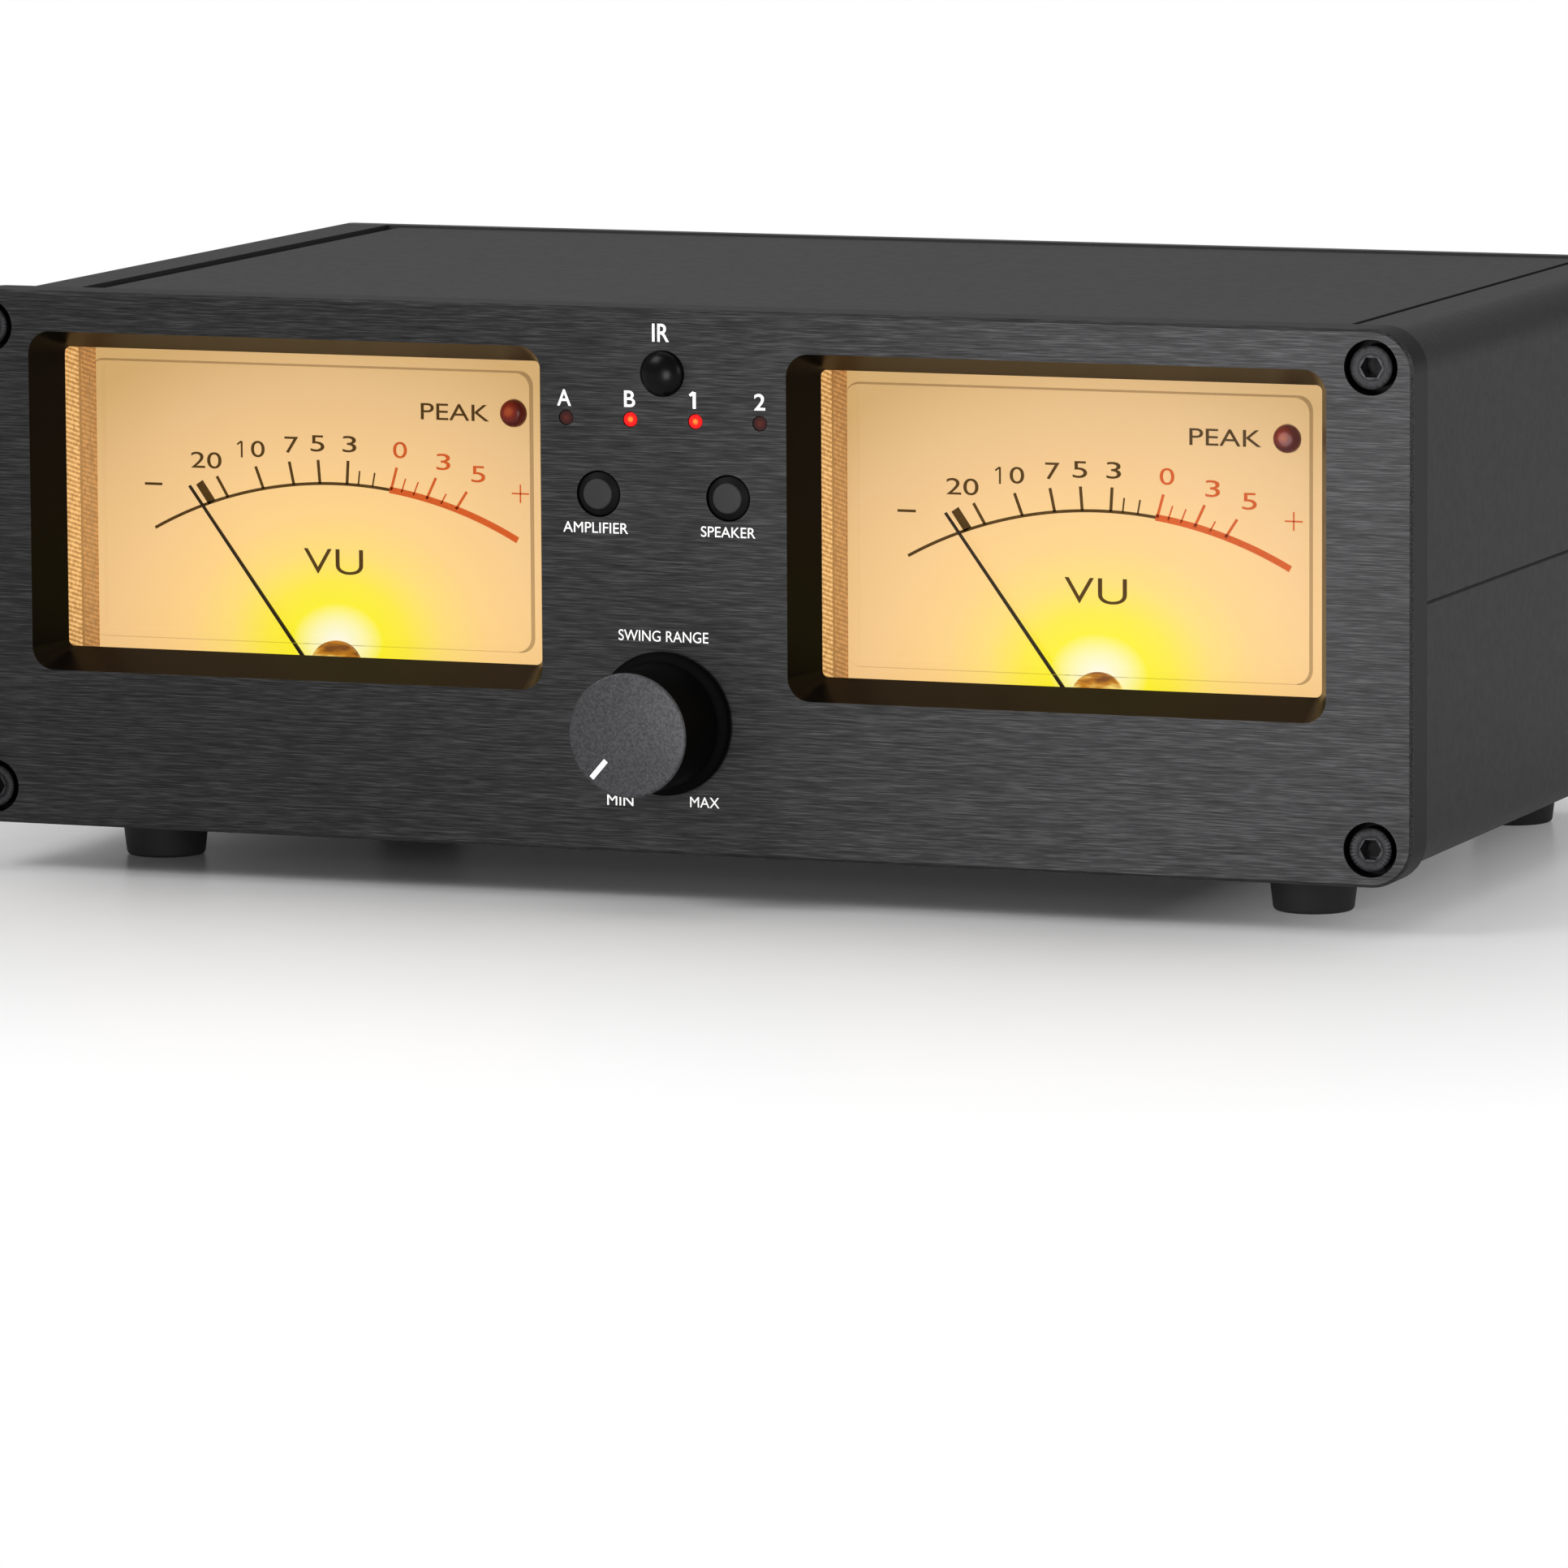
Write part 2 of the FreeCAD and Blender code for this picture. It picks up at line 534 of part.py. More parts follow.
def potentiometer_nut():
    body = piece("potentiometer_nut", z=knob_level())
    extrude(body, "-nut_thick", "nut_thick", [hexagon("0", "0", "nut_flats")])
    bore(body, "-nut_thick", "nut_thick", circles=[("0", "0", "bushing_width + 2 * nut_gap")])


# Buttons, lamps, infrared window and control board

def button(name, side):
    body = piece(name, x=f"{side} * button_place", z="panel_middle + button_rise")
    turned(body, [("0", "-button_proud"), ("button_width / 2 - button_edge", "-button_proud"),
                  ("button_width / 2", "button_edge_end"), ("button_width / 2", "collar_start"),
                  ("button_collar / 2", "collar_start"), ("button_collar / 2", "collar_end"),
                  ("switch_stem / 2", "collar_end"), ("switch_stem / 2", "button_back"),
                  ("0", "button_back")])


def tact_switch(name, side):
    body = piece(name, x=f"{side} * button_place", z="panel_middle + button_rise")
    extrude(body, "control_depth - switch_thick", "switch_thick", [centred("switch_width", "switch_width")])
    extrude(body, "stem_front", "switch_stem_tall", circles=[("0", "0", "switch_stem")])


def panel_lamps(name, places):
    body = piece(name, z="panel_middle + lamp_rise")
    extrude(body, "lamp_sunk", "control_depth - lamp_sunk",
            circles=[(x, "0", "lamp_width") for x in places])
    extrude(body, "control_depth - lamp_base_thick", "lamp_base_thick",
            circles=[(x, "0", "lamp_base") for x in places])


DOME_STEPS = 6


def infrared_lens():
    body = piece("infrared_lens", z="panel_middle + eye_rise")
    step = 90 / DOME_STEPS
    dome = [(f"eye_width / 2 * sin({turn * step})", f"-eye_proud * cos({turn * step})")
            for turn in range(1, DOME_STEPS)]
    turned(body, [("0", "-eye_proud")] + dome + [("eye_width / 2", "0"), ("eye_stem / 2", "0"),
                                                 ("eye_stem / 2", "panel_thick"), ("0", "panel_thick")])


def infrared_receiver():
    body = piece("infrared_receiver", z="panel_middle + eye_rise")
    extrude(body, "receiver_start", "receiver_thick", [centred("receiver_width", "receiver_tall")])
    extrude(body, "panel_thick + receiver_gap", "receiver_start - panel_thick - receiver_gap",
            circles=[("0", "0", "eye_stem")])


def control_board():
    body = piece("control_board")
    extrude(body, "control_depth", "board_thick", [centred("2 * control_half", "2 * control_half_tall")])


def ribbon_plugs():
    body = piece("ribbon_plugs", z="panel_middle - plug_drop")
    outline = centred("2 * plug_half", "plug_tall")
    extrude(body, "control_depth + board_thick", "plug_deep", [outline])
    extrude(body, "main_start", "plug_deep",
            [rectangle("-plug_half", "plug_half", "board_top + plug_drop", "plug_tall / 2")])


def ribbon_cable():
    body = piece("ribbon_cable", z="panel_middle - plug_drop")
    start = "control_depth + board_thick + plug_deep"
    extrude(body, start, f"main_start - ({start})", [centred("2 * ribbon_half", "ribbon_thick")])


# Main board

def main_board():
    body = piece("main_board")
    outline = rectangle("-main_half", "main_half", "board_foot", "board_top")
    extrude(body, "main_start", "main_deep", [outline])
    bore(body, "board_foot", "board_thick", circles=[(x, y, "screw_clear") for x, y in STANDOFF_SPOTS],
         plane="XY_Plane")


def board_standoffs():
    body = piece("board_standoffs")
    extrude(body, "floor_top", "standoff_tall", plane="XY_Plane",
            circles=[(x, y, "standoff_width") for x, y in STANDOFF_SPOTS])
    bore(body, "floor_top", "standoff_tall", circles=[(x, y, "screw_hole") for x, y in STANDOFF_SPOTS],
         plane="XY_Plane")


def board_screws():
    body = piece("board_screws")
    extrude(body, "board_top", "pan_head_tall", circles=[(x, y, "screw_head") for x, y in STANDOFF_SPOTS],
            plane="XY_Plane")
    extrude(body, "board_foot - standoff_tall / 2", "board_thick + standoff_tall / 2", plane="XY_Plane",
            circles=[(x, y, "screw_thread") for x, y in STANDOFF_SPOTS])


def relays():
    body = piece("relays")
    places = [f"({number} - 1.5) * relay_pitch" for number in range(4)]
    extrude(body, "relay_start", "relay_deep",
            [centred("relay_width", "relay_tall", "board_top + relay_tall / 2", x) for x in places])


# Rear sockets and power inlet

def sockets(name, row):
    """Eight insulated sockets in one row, each a collar outside and a body inside."""
    body = piece(name)
    spots = [(x, row) for x in SOCKET_COLUMNS]
    extrude(body, "case_depth", "socket_flange_thick", circles=[(x, z, "socket_flange") for x, z in spots])
    extrude(body, "case_depth + socket_flange_thick", "socket_reach - socket_flange_thick",
            circles=[(x, z, "socket_collar") for x, z in spots])
    extrude(body, "rear_start - socket_inside", "rear_thick + socket_inside",
            circles=[(x, z, "socket_body - 2 * socket_gap") for x, z in spots])
    bore(body, "rear_start - socket_inside", "socket_inside + rear_thick + socket_reach",
         circles=[(x, z, "contact_width") for x, z in spots])


SOCKET_SPOTS = [(x, z) for x in SOCKET_COLUMNS for z in ("socket_upper", "socket_lower")]


def socket_contacts():
    body = piece("socket_contacts")
    extrude(body, "contact_start", "contact_end - contact_start",
            circles=[(x, z, "contact_width") for x, z in SOCKET_SPOTS])
    bore(body, "contact_start + contact_wall", "contact_end - contact_start - contact_wall",
         circles=[(x, z, "contact_bore") for x, z in SOCKET_SPOTS])
    extrude(body, "contact_start - tail_length", "tail_length",
            circles=[(x, z, "tail_thick") for x, z in SOCKET_SPOTS])


def socket_nuts():
    body = piece("socket_nuts")
    extrude(body, "rear_start - socket_nut_thick", "socket_nut_thick",
            [hexagon(x, z, "socket_nut") for x, z in SOCKET_SPOTS])
    bore(body, "rear_start - socket_nut_thick", "socket_nut_thick",
         circles=[(x, z, "socket_body") for x, z in SOCKET_SPOTS])


def power_jack():
    body = piece("power_jack", x="jack_place", z="panel_middle + jack_rise")
    extrude(body, "rear_start - jack_long", "jack_long", [centred("jack_body", "jack_body")])
    extrude(body, "rear_start", "rear_thick", circles=[("0", "0", "jack_nose - 2 * jack_gap")])
    extrude(body, "case_depth", "jack_flange_thick", circles=[("0", "0", "jack_flange")])
    end = "case_depth + jack_flange_thick"
    bore(body, f"{end} - jack_deep", "jack_deep", circles=[("0", "0", "jack_bore")])
    extrude(body, f"{end} - jack_deep", "jack_deep - jack_pin_sunk", circles=[("0", "0", "jack_pin")])


# Meters

def meter_piece(side, name, offset, drop="0", turn=None):
    return piece(f"{side}_{name}", x=offset, z=f"panel_middle + window_rise - ({drop})", turn=turn)


def meter_case(side, offset):
    body = meter_piece(side, "meter_case", offset)
    extrude(body, "panel_thick", "meter_back - panel_thick",
            [rectangle("-meter_half", "meter_half", "-meter_bottom", "meter_top")])
    fillet(body, "meter_corner", runs_back)
    front = rectangle("-case_inner", "case_inner", "-case_inner_foot", "case_inner_top")
    bore(body, "panel_thick", "dial_back - panel_thick", [front])
    back = rectangle("-case_inner + ledge_width", "case_inner - ledge_width", "-case_inner_foot",
                     "case_inner_top - ledge_width")
    bore(body, "dial_back", "case_floor - dial_back", [back])


def meter_cover(side, offset):
    body = meter_piece(side, "meter_cover", offset)
    shift = "-cover_shift"
    flange = rectangle("-case_inner + dial_gap / 2", "case_inner - dial_gap / 2",
                       "-case_inner_foot + dial_gap / 2", "case_inner_top - dial_gap / 2")
    extrude(body, "cover_flange", "cover_wall", [flange])
    between(body, "cover_depth", centred("cover_width", "cover_tall", shift), "cover_flange + overlap",
            centred("cover_width + 2 * cover_draft", "cover_tall + 2 * cover_draft", shift))
    fillet(body, "cover_corner", slants_back_little)
    between(body, "cover_depth + cover_wall",
            centred("cover_width - 2 * cover_wall", "cover_tall - 2 * cover_wall", shift),
            "cover_flange + cover_wall + overlap",
            centred("cover_width - 2 * cover_wall + 2 * cover_draft",
                    "cover_tall - 2 * cover_wall + 2 * cover_draft", shift), cut=True)


def slants_back_little(edge):
    """True for the four slightly slanting corner edges of a cover's raised face."""
    return 0.8 < backwardness(edge) < 0.999


def dial_plate(side, offset):
    body = meter_piece(side, "dial_plate", offset)
    half = "case_inner - dial_gap"
    extrude(body, "dial_depth", "dial_thick",
            [rectangle(f"-({half})", half, "-dial_foot", "case_inner_top - dial_gap")])
    extrude(body, "dial_depth - boss_thick", "boss_thick + dial_thick / 2",
            [rectangle("-boss_width / 2", "boss_width / 2", "-dial_foot", "-dial_foot + boss_rise")])
    fillet(body, "boss_width / 2 - boss_flat", lambda edge: runs_back(edge)
           and near(abs(middle_of(edge).x), "boss_width / 2")
           and near(middle_of(edge).z, "-dial_foot + boss_rise"))
    bore(body, "dial_depth", "dial_thick",
         circles=[("peak_place", "peak_rise", "peak_width + 2 * peak_gap")])


def needle(side, offset):
    body = meter_piece(side, "needle", offset, "pivot_drop", "-needle_rest")
    arm = [("-needle_root / 2", "0"), ("needle_root / 2", "0"), ("needle_tip / 2", "needle_reach"),
           ("-needle_tip / 2", "needle_reach")]
    tail = rectangle("-tail_width / 2", "tail_width / 2", "-tail_reach", "0")
    extrude(body, "hub_start", "coil_front - hub_start", circles=[("0", "0", "hub_width")])
    extrude(body, "needle_depth", "needle_thick", [arm])
    extrude(body, "needle_depth", "2 * needle_thick", [tail])
    extrude(body, "bridge_depth + pin_short", "hub_start + overlap - bridge_depth - pin_short",
            circles=[("0", "0", "pivot_pin")])


def moving_coil(side, offset):
    body = meter_piece(side, "moving_coil", offset, "pivot_drop", "-needle_rest")
    bore_start = "coil_front + coil_wire"
    extrude(body, "coil_front", "coil_back - coil_front", [centred("2 * coil_radius", "coil_wide")])
    bore(body, bore_start, f"coil_back - coil_wire - ({bore_start})",
         [centred("2 * (coil_radius - coil_wire)", "2 * coil_wide")])
    extrude(body, "coil_back", "collet_tall", circles=[("0", "0", "collet_width")])
    extrude(body, "coil_back", "case_floor - pin_short - coil_back", circles=[("0", "0", "pivot_pin")])


def yoke_ring(side, offset):
    body = meter_piece(side, "yoke_ring", offset, "pivot_drop")
    extrude(body, "yoke_start", "yoke_thick", circles=[("0", "0", "yoke_width"), ("0", "0", "yoke_bore")])


def core_magnet(side, offset):
    body = meter_piece(side, "core_magnet", offset, "pivot_drop")
    extrude(body, "core_start", "core_thick", circles=[("0", "0", "core_width")])


def legs(low, high):
    """The outlines of a bridge's two legs."""
    return [rectangle(f"{side} * leg_inner", f"{side} * leg_outer", low, high) for side in ("-1", "1")]


def front_bridge(side, offset):
    body = meter_piece(side, "front_bridge", offset, "pivot_drop")
    extrude(body, "bridge_depth", "bridge_thick", [centred("2 * leg_outer", "bridge_tall")])
    extrude(body, "bridge_depth", "yoke_start - bridge_depth", legs("-bridge_tall / 2", "bridge_tall / 2"))
    bore(body, "bridge_depth", "bridge_thick", circles=[("0", "0", "pivot_pin + 2 * pivot_gap")])


def rear_bridge(side, offset):
    body = meter_piece(side, "rear_bridge", offset, "pivot_drop")
    extrude(body, "rear_bridge_start", "bridge_thick", [centred("2 * leg_outer", "rear_bridge_tall")])
    extrude(body, "yoke_end", "case_floor - yoke_end", legs("-bridge_tall / 2", "bridge_tall / 2"))
    extrude(body, "core_end", "case_floor - core_end",
            circles=[("0", "post_place", "post_width"), ("0", "-post_place", "post_width")])
    bore(body, "rear_bridge_start", "bridge_thick", circles=[("0", "0", "pivot_pin + 2 * pivot_gap")])


SPRING_HALF_TURNS = 5


def hairspring(side, offset):
    """A flat spiral of half turns, drawn as arcs whose centres step sideways."""
    wire_wide = amount("spring_wire")
    pitch = amount("spring_pitch")
    rims = []
    for grow in (0, wire_wide):
        arcs = []
        radius = amount("spring_start") + grow
        middle = 0.0
        for half_turn in range(SPRING_HALF_TURNS):
            side_up = 1 if half_turn % 2 == 0 else -1
            start = FreeCAD.Vector(middle - side_up * radius, 0, 0)
            top = FreeCAD.Vector(middle, 0, side_up * radius)
            end = FreeCAD.Vector(middle + side_up * radius, 0, 0)
            arcs.append(Part.Arc(start, top, end).toShape())
            middle += side_up * -pitch / 4
            radius += pitch / 4
        rims.append(arcs)
    inner, outer = rims
    ends = [Part.makeLine(inner[0].Vertexes[0].Point, outer[0].Vertexes[0].Point),
            Part.makeLine(inner[-1].Vertexes[-1].Point, outer[-1].Vertexes[-1].Point)]
    face = Part.Face(Part.Wire(Part.__sortEdges__(inner + outer + ends)))
    item = doc.addObject("Part::Feature", f"{side}_hairspring")
    item.Label = f"{side}_hairspring"
    item.Shape = face.extrude(FreeCAD.Vector(0, amount("spring_tall"), 0))
    item.Placement = FreeCAD.Placement(
        FreeCAD.Vector(amount(offset), amount("panel_front + coil_back + spring_lift"),
                       amount("panel_middle + window_rise - pivot_drop")), FreeCAD.Rotation())
    pieces.append(item)


def light_board(side, offset):
    body = meter_piece(side, "light_board", offset)
    half = "case_inner - ledge_width - light_gap"
    top = "case_inner_top - ledge_width - light_gap"
    extrude(body, "light_depth", "light_thick", [rectangle(f"-({half})", half, "-light_foot", top)])


def meter_lamp(side, offset):
    body = meter_piece(side, "meter_lamp", offset, "bulb_drop")
    start = "dial_back + bulb_gap"
    extrude(body, start, f"light_depth - ({start})", circles=[("0", "0", "bulb_width")])
    fillet(body, "bulb_width / 2 - bulb_flat", lambda edge: near(middle_of(edge).y, start))


def peak_lamp(side, offset):
    body = meter_piece(side, "peak_lamp", offset)
    start = "dial_depth - peak_proud"
    extrude(body, start, f"light_depth - ({start})", circles=[("peak_place", "peak_rise", "peak_width")])
    fillet(body, "peak_proud", lambda edge: near(middle_of(edge).y, start))


# Making the whole object

front_panel()
front_screws()
shell("top_shell", "1")
shell("bottom_shell", "-1")
rear_panel()
rear_screws()
rubber_feet()
foot_screws()
knob()
knob_set_screw()
potentiometer()
potentiometer_shaft()
potentiometer_nut()
for label, side in (("amplifier", "-1"), ("speaker", "1")):
    button(f"{label}_button", side)
    tact_switch(f"{label}_switch", side)
panel_lamps("lit_lamps", LAMP_PLACES[1:3])
panel_lamps("unlit_lamps", (LAMP_PLACES[0], LAMP_PLACES[3]))
infrared_lens()
infrared_receiver()
control_board()
ribbon_plugs()
ribbon_cable()
main_board()
board_standoffs()
board_screws()
relays()
sockets("red_sockets", "socket_upper")
sockets("black_sockets", "socket_lower")
socket_contacts()
socket_nuts()
power_jack()
for side, offset in WINDOWS:
    for make in (meter_case, meter_cover, dial_plate, needle, moving_coil, yoke_ring, core_magnet,
                 front_bridge, rear_bridge, hairspring, light_board, meter_lamp, peak_lamp):
        make(side, offset)

# Checks, then the files

doc.recompute()
for item in doc.Objects:
    if "Invalid" in item.State or "Error" in item.State:
        raise RuntimeError(f"{item.Label} failed to build: {item.State}")
for item in doc.Objects:
    if item.TypeId in ("PartDesign::Pocket", "PartDesign::SubtractiveLoft"):
        if item.BaseFeature.Shape.Volume - item.Shape.Volume < 1e-3:
            raise RuntimeError(f"{item.Label} cuts nothing")
for item in pieces:
    if item.Shape.isNull() or not item.Shape.isValid():
        raise RuntimeError(f"{item.Label} has no valid shape")

os.makedirs("parts", exist_ok=True)
for item in pieces:
    item.Shape.exportStep(f"parts/{item.Label}.step")
    print(item.Label, len(item.Shape.Solids), round(item.Shape.Volume, 1))
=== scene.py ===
import bmesh
import bpy
import json
import math
from mathutils import Matrix, Vector


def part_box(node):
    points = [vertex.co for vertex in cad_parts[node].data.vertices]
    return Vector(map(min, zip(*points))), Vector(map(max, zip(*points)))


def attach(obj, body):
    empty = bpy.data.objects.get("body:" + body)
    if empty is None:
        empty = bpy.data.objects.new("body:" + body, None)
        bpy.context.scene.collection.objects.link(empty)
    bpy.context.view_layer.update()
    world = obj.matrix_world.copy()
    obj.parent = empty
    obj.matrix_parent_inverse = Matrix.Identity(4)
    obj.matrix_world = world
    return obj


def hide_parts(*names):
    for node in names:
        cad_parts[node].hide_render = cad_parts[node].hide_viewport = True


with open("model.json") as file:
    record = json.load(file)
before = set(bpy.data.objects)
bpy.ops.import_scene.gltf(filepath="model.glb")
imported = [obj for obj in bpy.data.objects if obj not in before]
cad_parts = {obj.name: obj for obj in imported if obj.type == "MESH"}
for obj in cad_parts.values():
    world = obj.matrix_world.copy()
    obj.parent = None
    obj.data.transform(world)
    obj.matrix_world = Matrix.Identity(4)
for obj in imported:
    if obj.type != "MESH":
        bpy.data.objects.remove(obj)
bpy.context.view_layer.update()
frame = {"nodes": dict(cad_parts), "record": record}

MM = 0.001

# Places read from the frame

panel_low, panel_high = (Vector(corner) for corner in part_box("front_panel"))
FRONT = panel_low.y
MIDDLE = (panel_low.z + panel_high.z) / 2
dial_low, dial_high = (Vector(corner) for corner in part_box("right_dial_plate"))
METER_X = (dial_low.x + dial_high.x) / 2
knob_low, knob_high = (Vector(corner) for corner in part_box("knob"))
KNOB_Z = (knob_low.z + knob_high.z) / 2
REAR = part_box("rear_panel")[1][1]
COVER_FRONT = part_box("right_meter_cover")[0][1]

# Sizes and places of the meters, the panel's screws and the printing

DIAL_THICK = 0.8 * MM
DIAL_FACE = dial_high.y - DIAL_THICK
METER_RISE = 7.55 * MM
METER_Z = MIDDLE + METER_RISE
PIVOT_DROP = 27 * MM
BULB_DROP = 19.3 * MM
RIB_PITCH = 0.62 * MM
DARK_BAND = 4.6 * MM
WINDOW_WIDE = 71.9 * MM
WINDOW_TALL = 44.3 * MM
SCREW_X = 94.5 * MM
SCREW_Z = 30.2 * MM
SCREW_RADIUS = 2.75 * MM
PRINT_THICK = 0.03 * MM


# Shader maths

def tone(code):
    """A colour written as six hex digits, as linear light."""
    levels = [int(code[place:place + 2], 16) / 255 for place in (0, 2, 4)]
    return tuple(level / 12.92 if level < 0.04045 else ((level + 0.055) / 1.055) ** 2.4
                 for level in levels) + (1.0,)


class Wire:
    """A shader socket that takes part in Python expressions."""

    def __init__(self, finish, socket):
        self.finish = finish
        self.socket = socket

    def maths(self, operation, *others):
        """One maths node with this value first."""
        values = dict(enumerate((self,) + others))
        return self.finish.node("ShaderNodeMath", {"operation": operation}, values)

    def __add__(self, other):
        return self.maths("ADD", other)

    def __radd__(self, other):
        return self.maths("ADD", other)

    def __sub__(self, other):
        return self.maths("SUBTRACT", other)

    def __rsub__(self, other):
        return (self * -1).maths("ADD", other)

    def __mul__(self, other):
        return self.maths("MULTIPLY", other)

    def __rmul__(self, other):
        return self.maths("MULTIPLY", other)

    def __truediv__(self, other):
        return self.maths("DIVIDE", other)

    def __abs__(self):
        return self.maths("ABSOLUTE")

    def below(self, limit):
        """1 where the value is under the limit, else 0."""
        return self.maths("LESS_THAN", limit)

    def above(self, limit):
        """1 where the value is over the limit, else 0."""
        return self.maths("GREATER_THAN", limit)


class Finish:
    """A material while its nodes are being made."""

    def __init__(self, name):
        self.material = bpy.data.materials.new(name)
        self.material.use_nodes = True
        self.tree = self.material.node_tree
        self.tree.nodes.clear()
        self.place = self.node("ShaderNodeTexCoord", output="Object")
        self.x, self.y, self.z = self.split(self.place)

    def node(self, kind, settings=None, inputs=None, output=0):
        """One node: its settings first, then the values or links of its sockets."""
        made = self.tree.nodes.new(kind)
        for name, value in (settings or {}).items():
            if name == "stops":
                ramp = made.color_ramp
                while len(ramp.elements) < len(value):
                    ramp.elements.new(1.0)
                for element, (position, colour) in zip(ramp.elements, value):
                    element.position = position
                    element.color = colour
            else:
                setattr(made, name, value)
        for key, value in (inputs or {}).items():
            if isinstance(value, Wire):
                self.tree.links.new(value.socket, made.inputs[key])
            else:
                made.inputs[key].default_value = value
        return Wire(self, made.outputs[output])

    def split(self, vector):
        """The three parts of a vector."""
        made = self.tree.nodes.new("ShaderNodeSeparateXYZ")
        self.tree.links.new(vector.socket, made.inputs[0])
        return [Wire(self, made.outputs[axis]) for axis in range(3)]

    def noise(self, scale, stretch=(1, 1, 1), detail=4.0, roughness=0.55):
        """Noise over the object's own place; a stretch under 1 draws it out along that axis."""
        place = self.node("ShaderNodeMapping", None, {"Vector": self.place, "Scale": stretch})
        inputs = {"Vector": place, "Scale": scale, "Detail": detail, "Roughness": roughness}
        return self.node("ShaderNodeTexNoise", None, inputs)

    def mix(self, factor, first, second):
        return self.node("ShaderNodeMix", {"data_type": "RGBA"}, {0: factor, 6: first, 7: second}, output=2)

    def ramp(self, value, stops):
        return self.node("ShaderNodeValToRGB", {"stops": stops}, {0: value})

    def bump(self, height, strength, distance=0.05 * MM):
        inputs = {"Strength": strength, "Distance": distance, "Height": height}
        return self.node("ShaderNodeBump", None, inputs)

    def surface(self, **sockets):
        """Ends the material with one principled shader, whose sockets are named with underscores."""
        inputs = {name.replace("_", " "): value for name, value in sockets.items()}
        shader = self.node("ShaderNodeBsdfPrincipled", None, inputs)
        self.tree.links.new(shader.socket, self.tree.nodes.new("ShaderNodeOutputMaterial").inputs[0])
        return self.material


# Finishes

def moulded(name, colour, shade, roughness, grain, bump, metallic=0.0, coat=0.0, specular=0.5):
    """Moulded plastic, rubber or painted metal: fine grain, slight colour drift and polished patches."""
    finish = Finish(name)
    drift = finish.noise(60)
    speckle = finish.noise(grain, detail=2.0)
    return finish.surface(Base_Color=finish.mix(drift, tone(colour), tone(shade)), Metallic=metallic,
                          Roughness=roughness - 0.06 + 0.12 * drift, Coat_Weight=coat,
                          Specular_IOR_Level=specular, Normal=finish.bump(speckle, bump))


def turned_metal(name, colour, shade, roughness=0.3, pitch=2500):
    """Bare metal with fine tool marks, one after another along Y."""
    finish = Finish(name)
    marks = finish.noise(pitch, (0.15, 1, 0.15), detail=3.0)
    smudge = finish.noise(45)
    return finish.surface(Base_Color=finish.mix(smudge, tone(colour), tone(shade)), Metallic=1.0,
                          Roughness=roughness + 0.12 * marks, Normal=finish.bump(marks, 0.2))


def brushed_panel():
    """Black anodised aluminium, brushed along X, with black bevels round the windows; its edges are painted
    near black, a painted shade for the dark they reflect.
    """
    window_start = 0.05 * MM
    edge_start = 0.45 * MM
    finish = Finish("brushed_black")
    fine = finish.noise(7500, (0.035, 1, 1), detail=2.0, roughness=0.6)
    lines = finish.noise(4600, (0.03, 1, 1), detail=2.0)
    cloud = finish.noise(14, (0.5, 1, 1))
    brushed = fine * 0.6 + lines * 0.4
    across = abs(abs(finish.x) - METER_X).below(WINDOW_WIDE / 2)
    up = abs(finish.z - METER_Z).below(WINDOW_TALL / 2)
    inside = across * up * finish.y.above(FRONT + window_start)
    metal = finish.ramp(brushed, [(0.36, tone("252525")), (0.5, tone("323233")), (0.64, tone("464647"))])
    # Painted shade: the edges behind the front face get a near-black, non-metal colour for the dark they
    # reflect
    edge = finish.y.above(FRONT + edge_start)
    colour = finish.mix(inside, finish.mix(edge, metal, tone("0C0C0C")), tone("0B0806"))
    roughness = (0.34 + 0.16 * brushed + 0.05 * cloud) * (1 - inside) + inside * 0.3
    plain = inside.maths("MAXIMUM", edge)
    return finish.surface(Base_Color=colour, Metallic=0.85 - 0.85 * plain, Roughness=roughness,
                          Specular_IOR_Level=0.06,
                          Normal=finish.bump(brushed * (1 - inside), 0.35, 0.02 * MM))


def blasted_shell():
    """Sandblasted and anodised extrusion: fine even speckle."""
    finish = Finish("blasted_black")
    speckle = finish.noise(2600, detail=2.0)
    patch = finish.noise(25)
    colour = finish.mix(patch, tone("1F1F20"), tone("262627"))
    wear = finish.noise(700, detail=5.0)
    return finish.surface(Base_Color=finish.mix(speckle * 0.35, colour, tone("424244")), Metallic=0.35,
                          Specular_IOR_Level=0.15, Roughness=0.5 + 0.12 * wear,
                          Normal=finish.bump(speckle, 0.45, 0.04 * MM))


def dial_face():
    """A translucent dial whose light from a lamp behind its lower middle is painted in as emission, with an
    amber boss there.
    """
    glow_reach = 44 * MM
    boss_start = 0.05 * MM
    finish = Finish("lit_dial")
    across = abs(finish.x) - METER_X
    up = finish.z - (METER_Z - BULB_DROP)
    distance = (across * across * 0.7 + up * up * 1.1).maths("SQRT")
    cloud = finish.noise(55, detail=2.0)
    reach = distance / glow_reach + (cloud - 0.5) * 0.03
    glow = finish.ramp(reach, [(0.02, tone("FFFBE0")), (0.068, tone("FFF9B4")), (0.125, tone("FEF11C")),
                               (0.19, tone("FEEB38")), (0.29, tone("FFDD74")), (0.4, tone("FFD284")),
                               (0.58, tone("F6C98A")), (0.8, tone("E6BC82")), (1.0, tone("D0A86C"))])
    boss = finish.y.below(DIAL_FACE - boss_start)
    # Painted highlights: the boss glows amber as painted emission, and its brightest streaks are painted
    # highlights
    glint_streak = finish.noise(700, (0.35, 1, 1), detail=2.0)
    amber = finish.ramp(glint_streak, [(0.35, tone("7A4304")), (0.52, tone("C67F0C")), (0.68, tone("FFE27A"))])
    light = finish.mix(boss, glow, amber)
    grain = finish.noise(1400, detail=2.0)
    return finish.surface(Base_Color=finish.mix(boss, tone("2E2412"), tone("2A1602")),
                          Roughness=0.5 + 0.1 * grain, Emission_Color=light, Emission_Strength=0.97,
                          Normal=finish.bump(grain, 0.1))


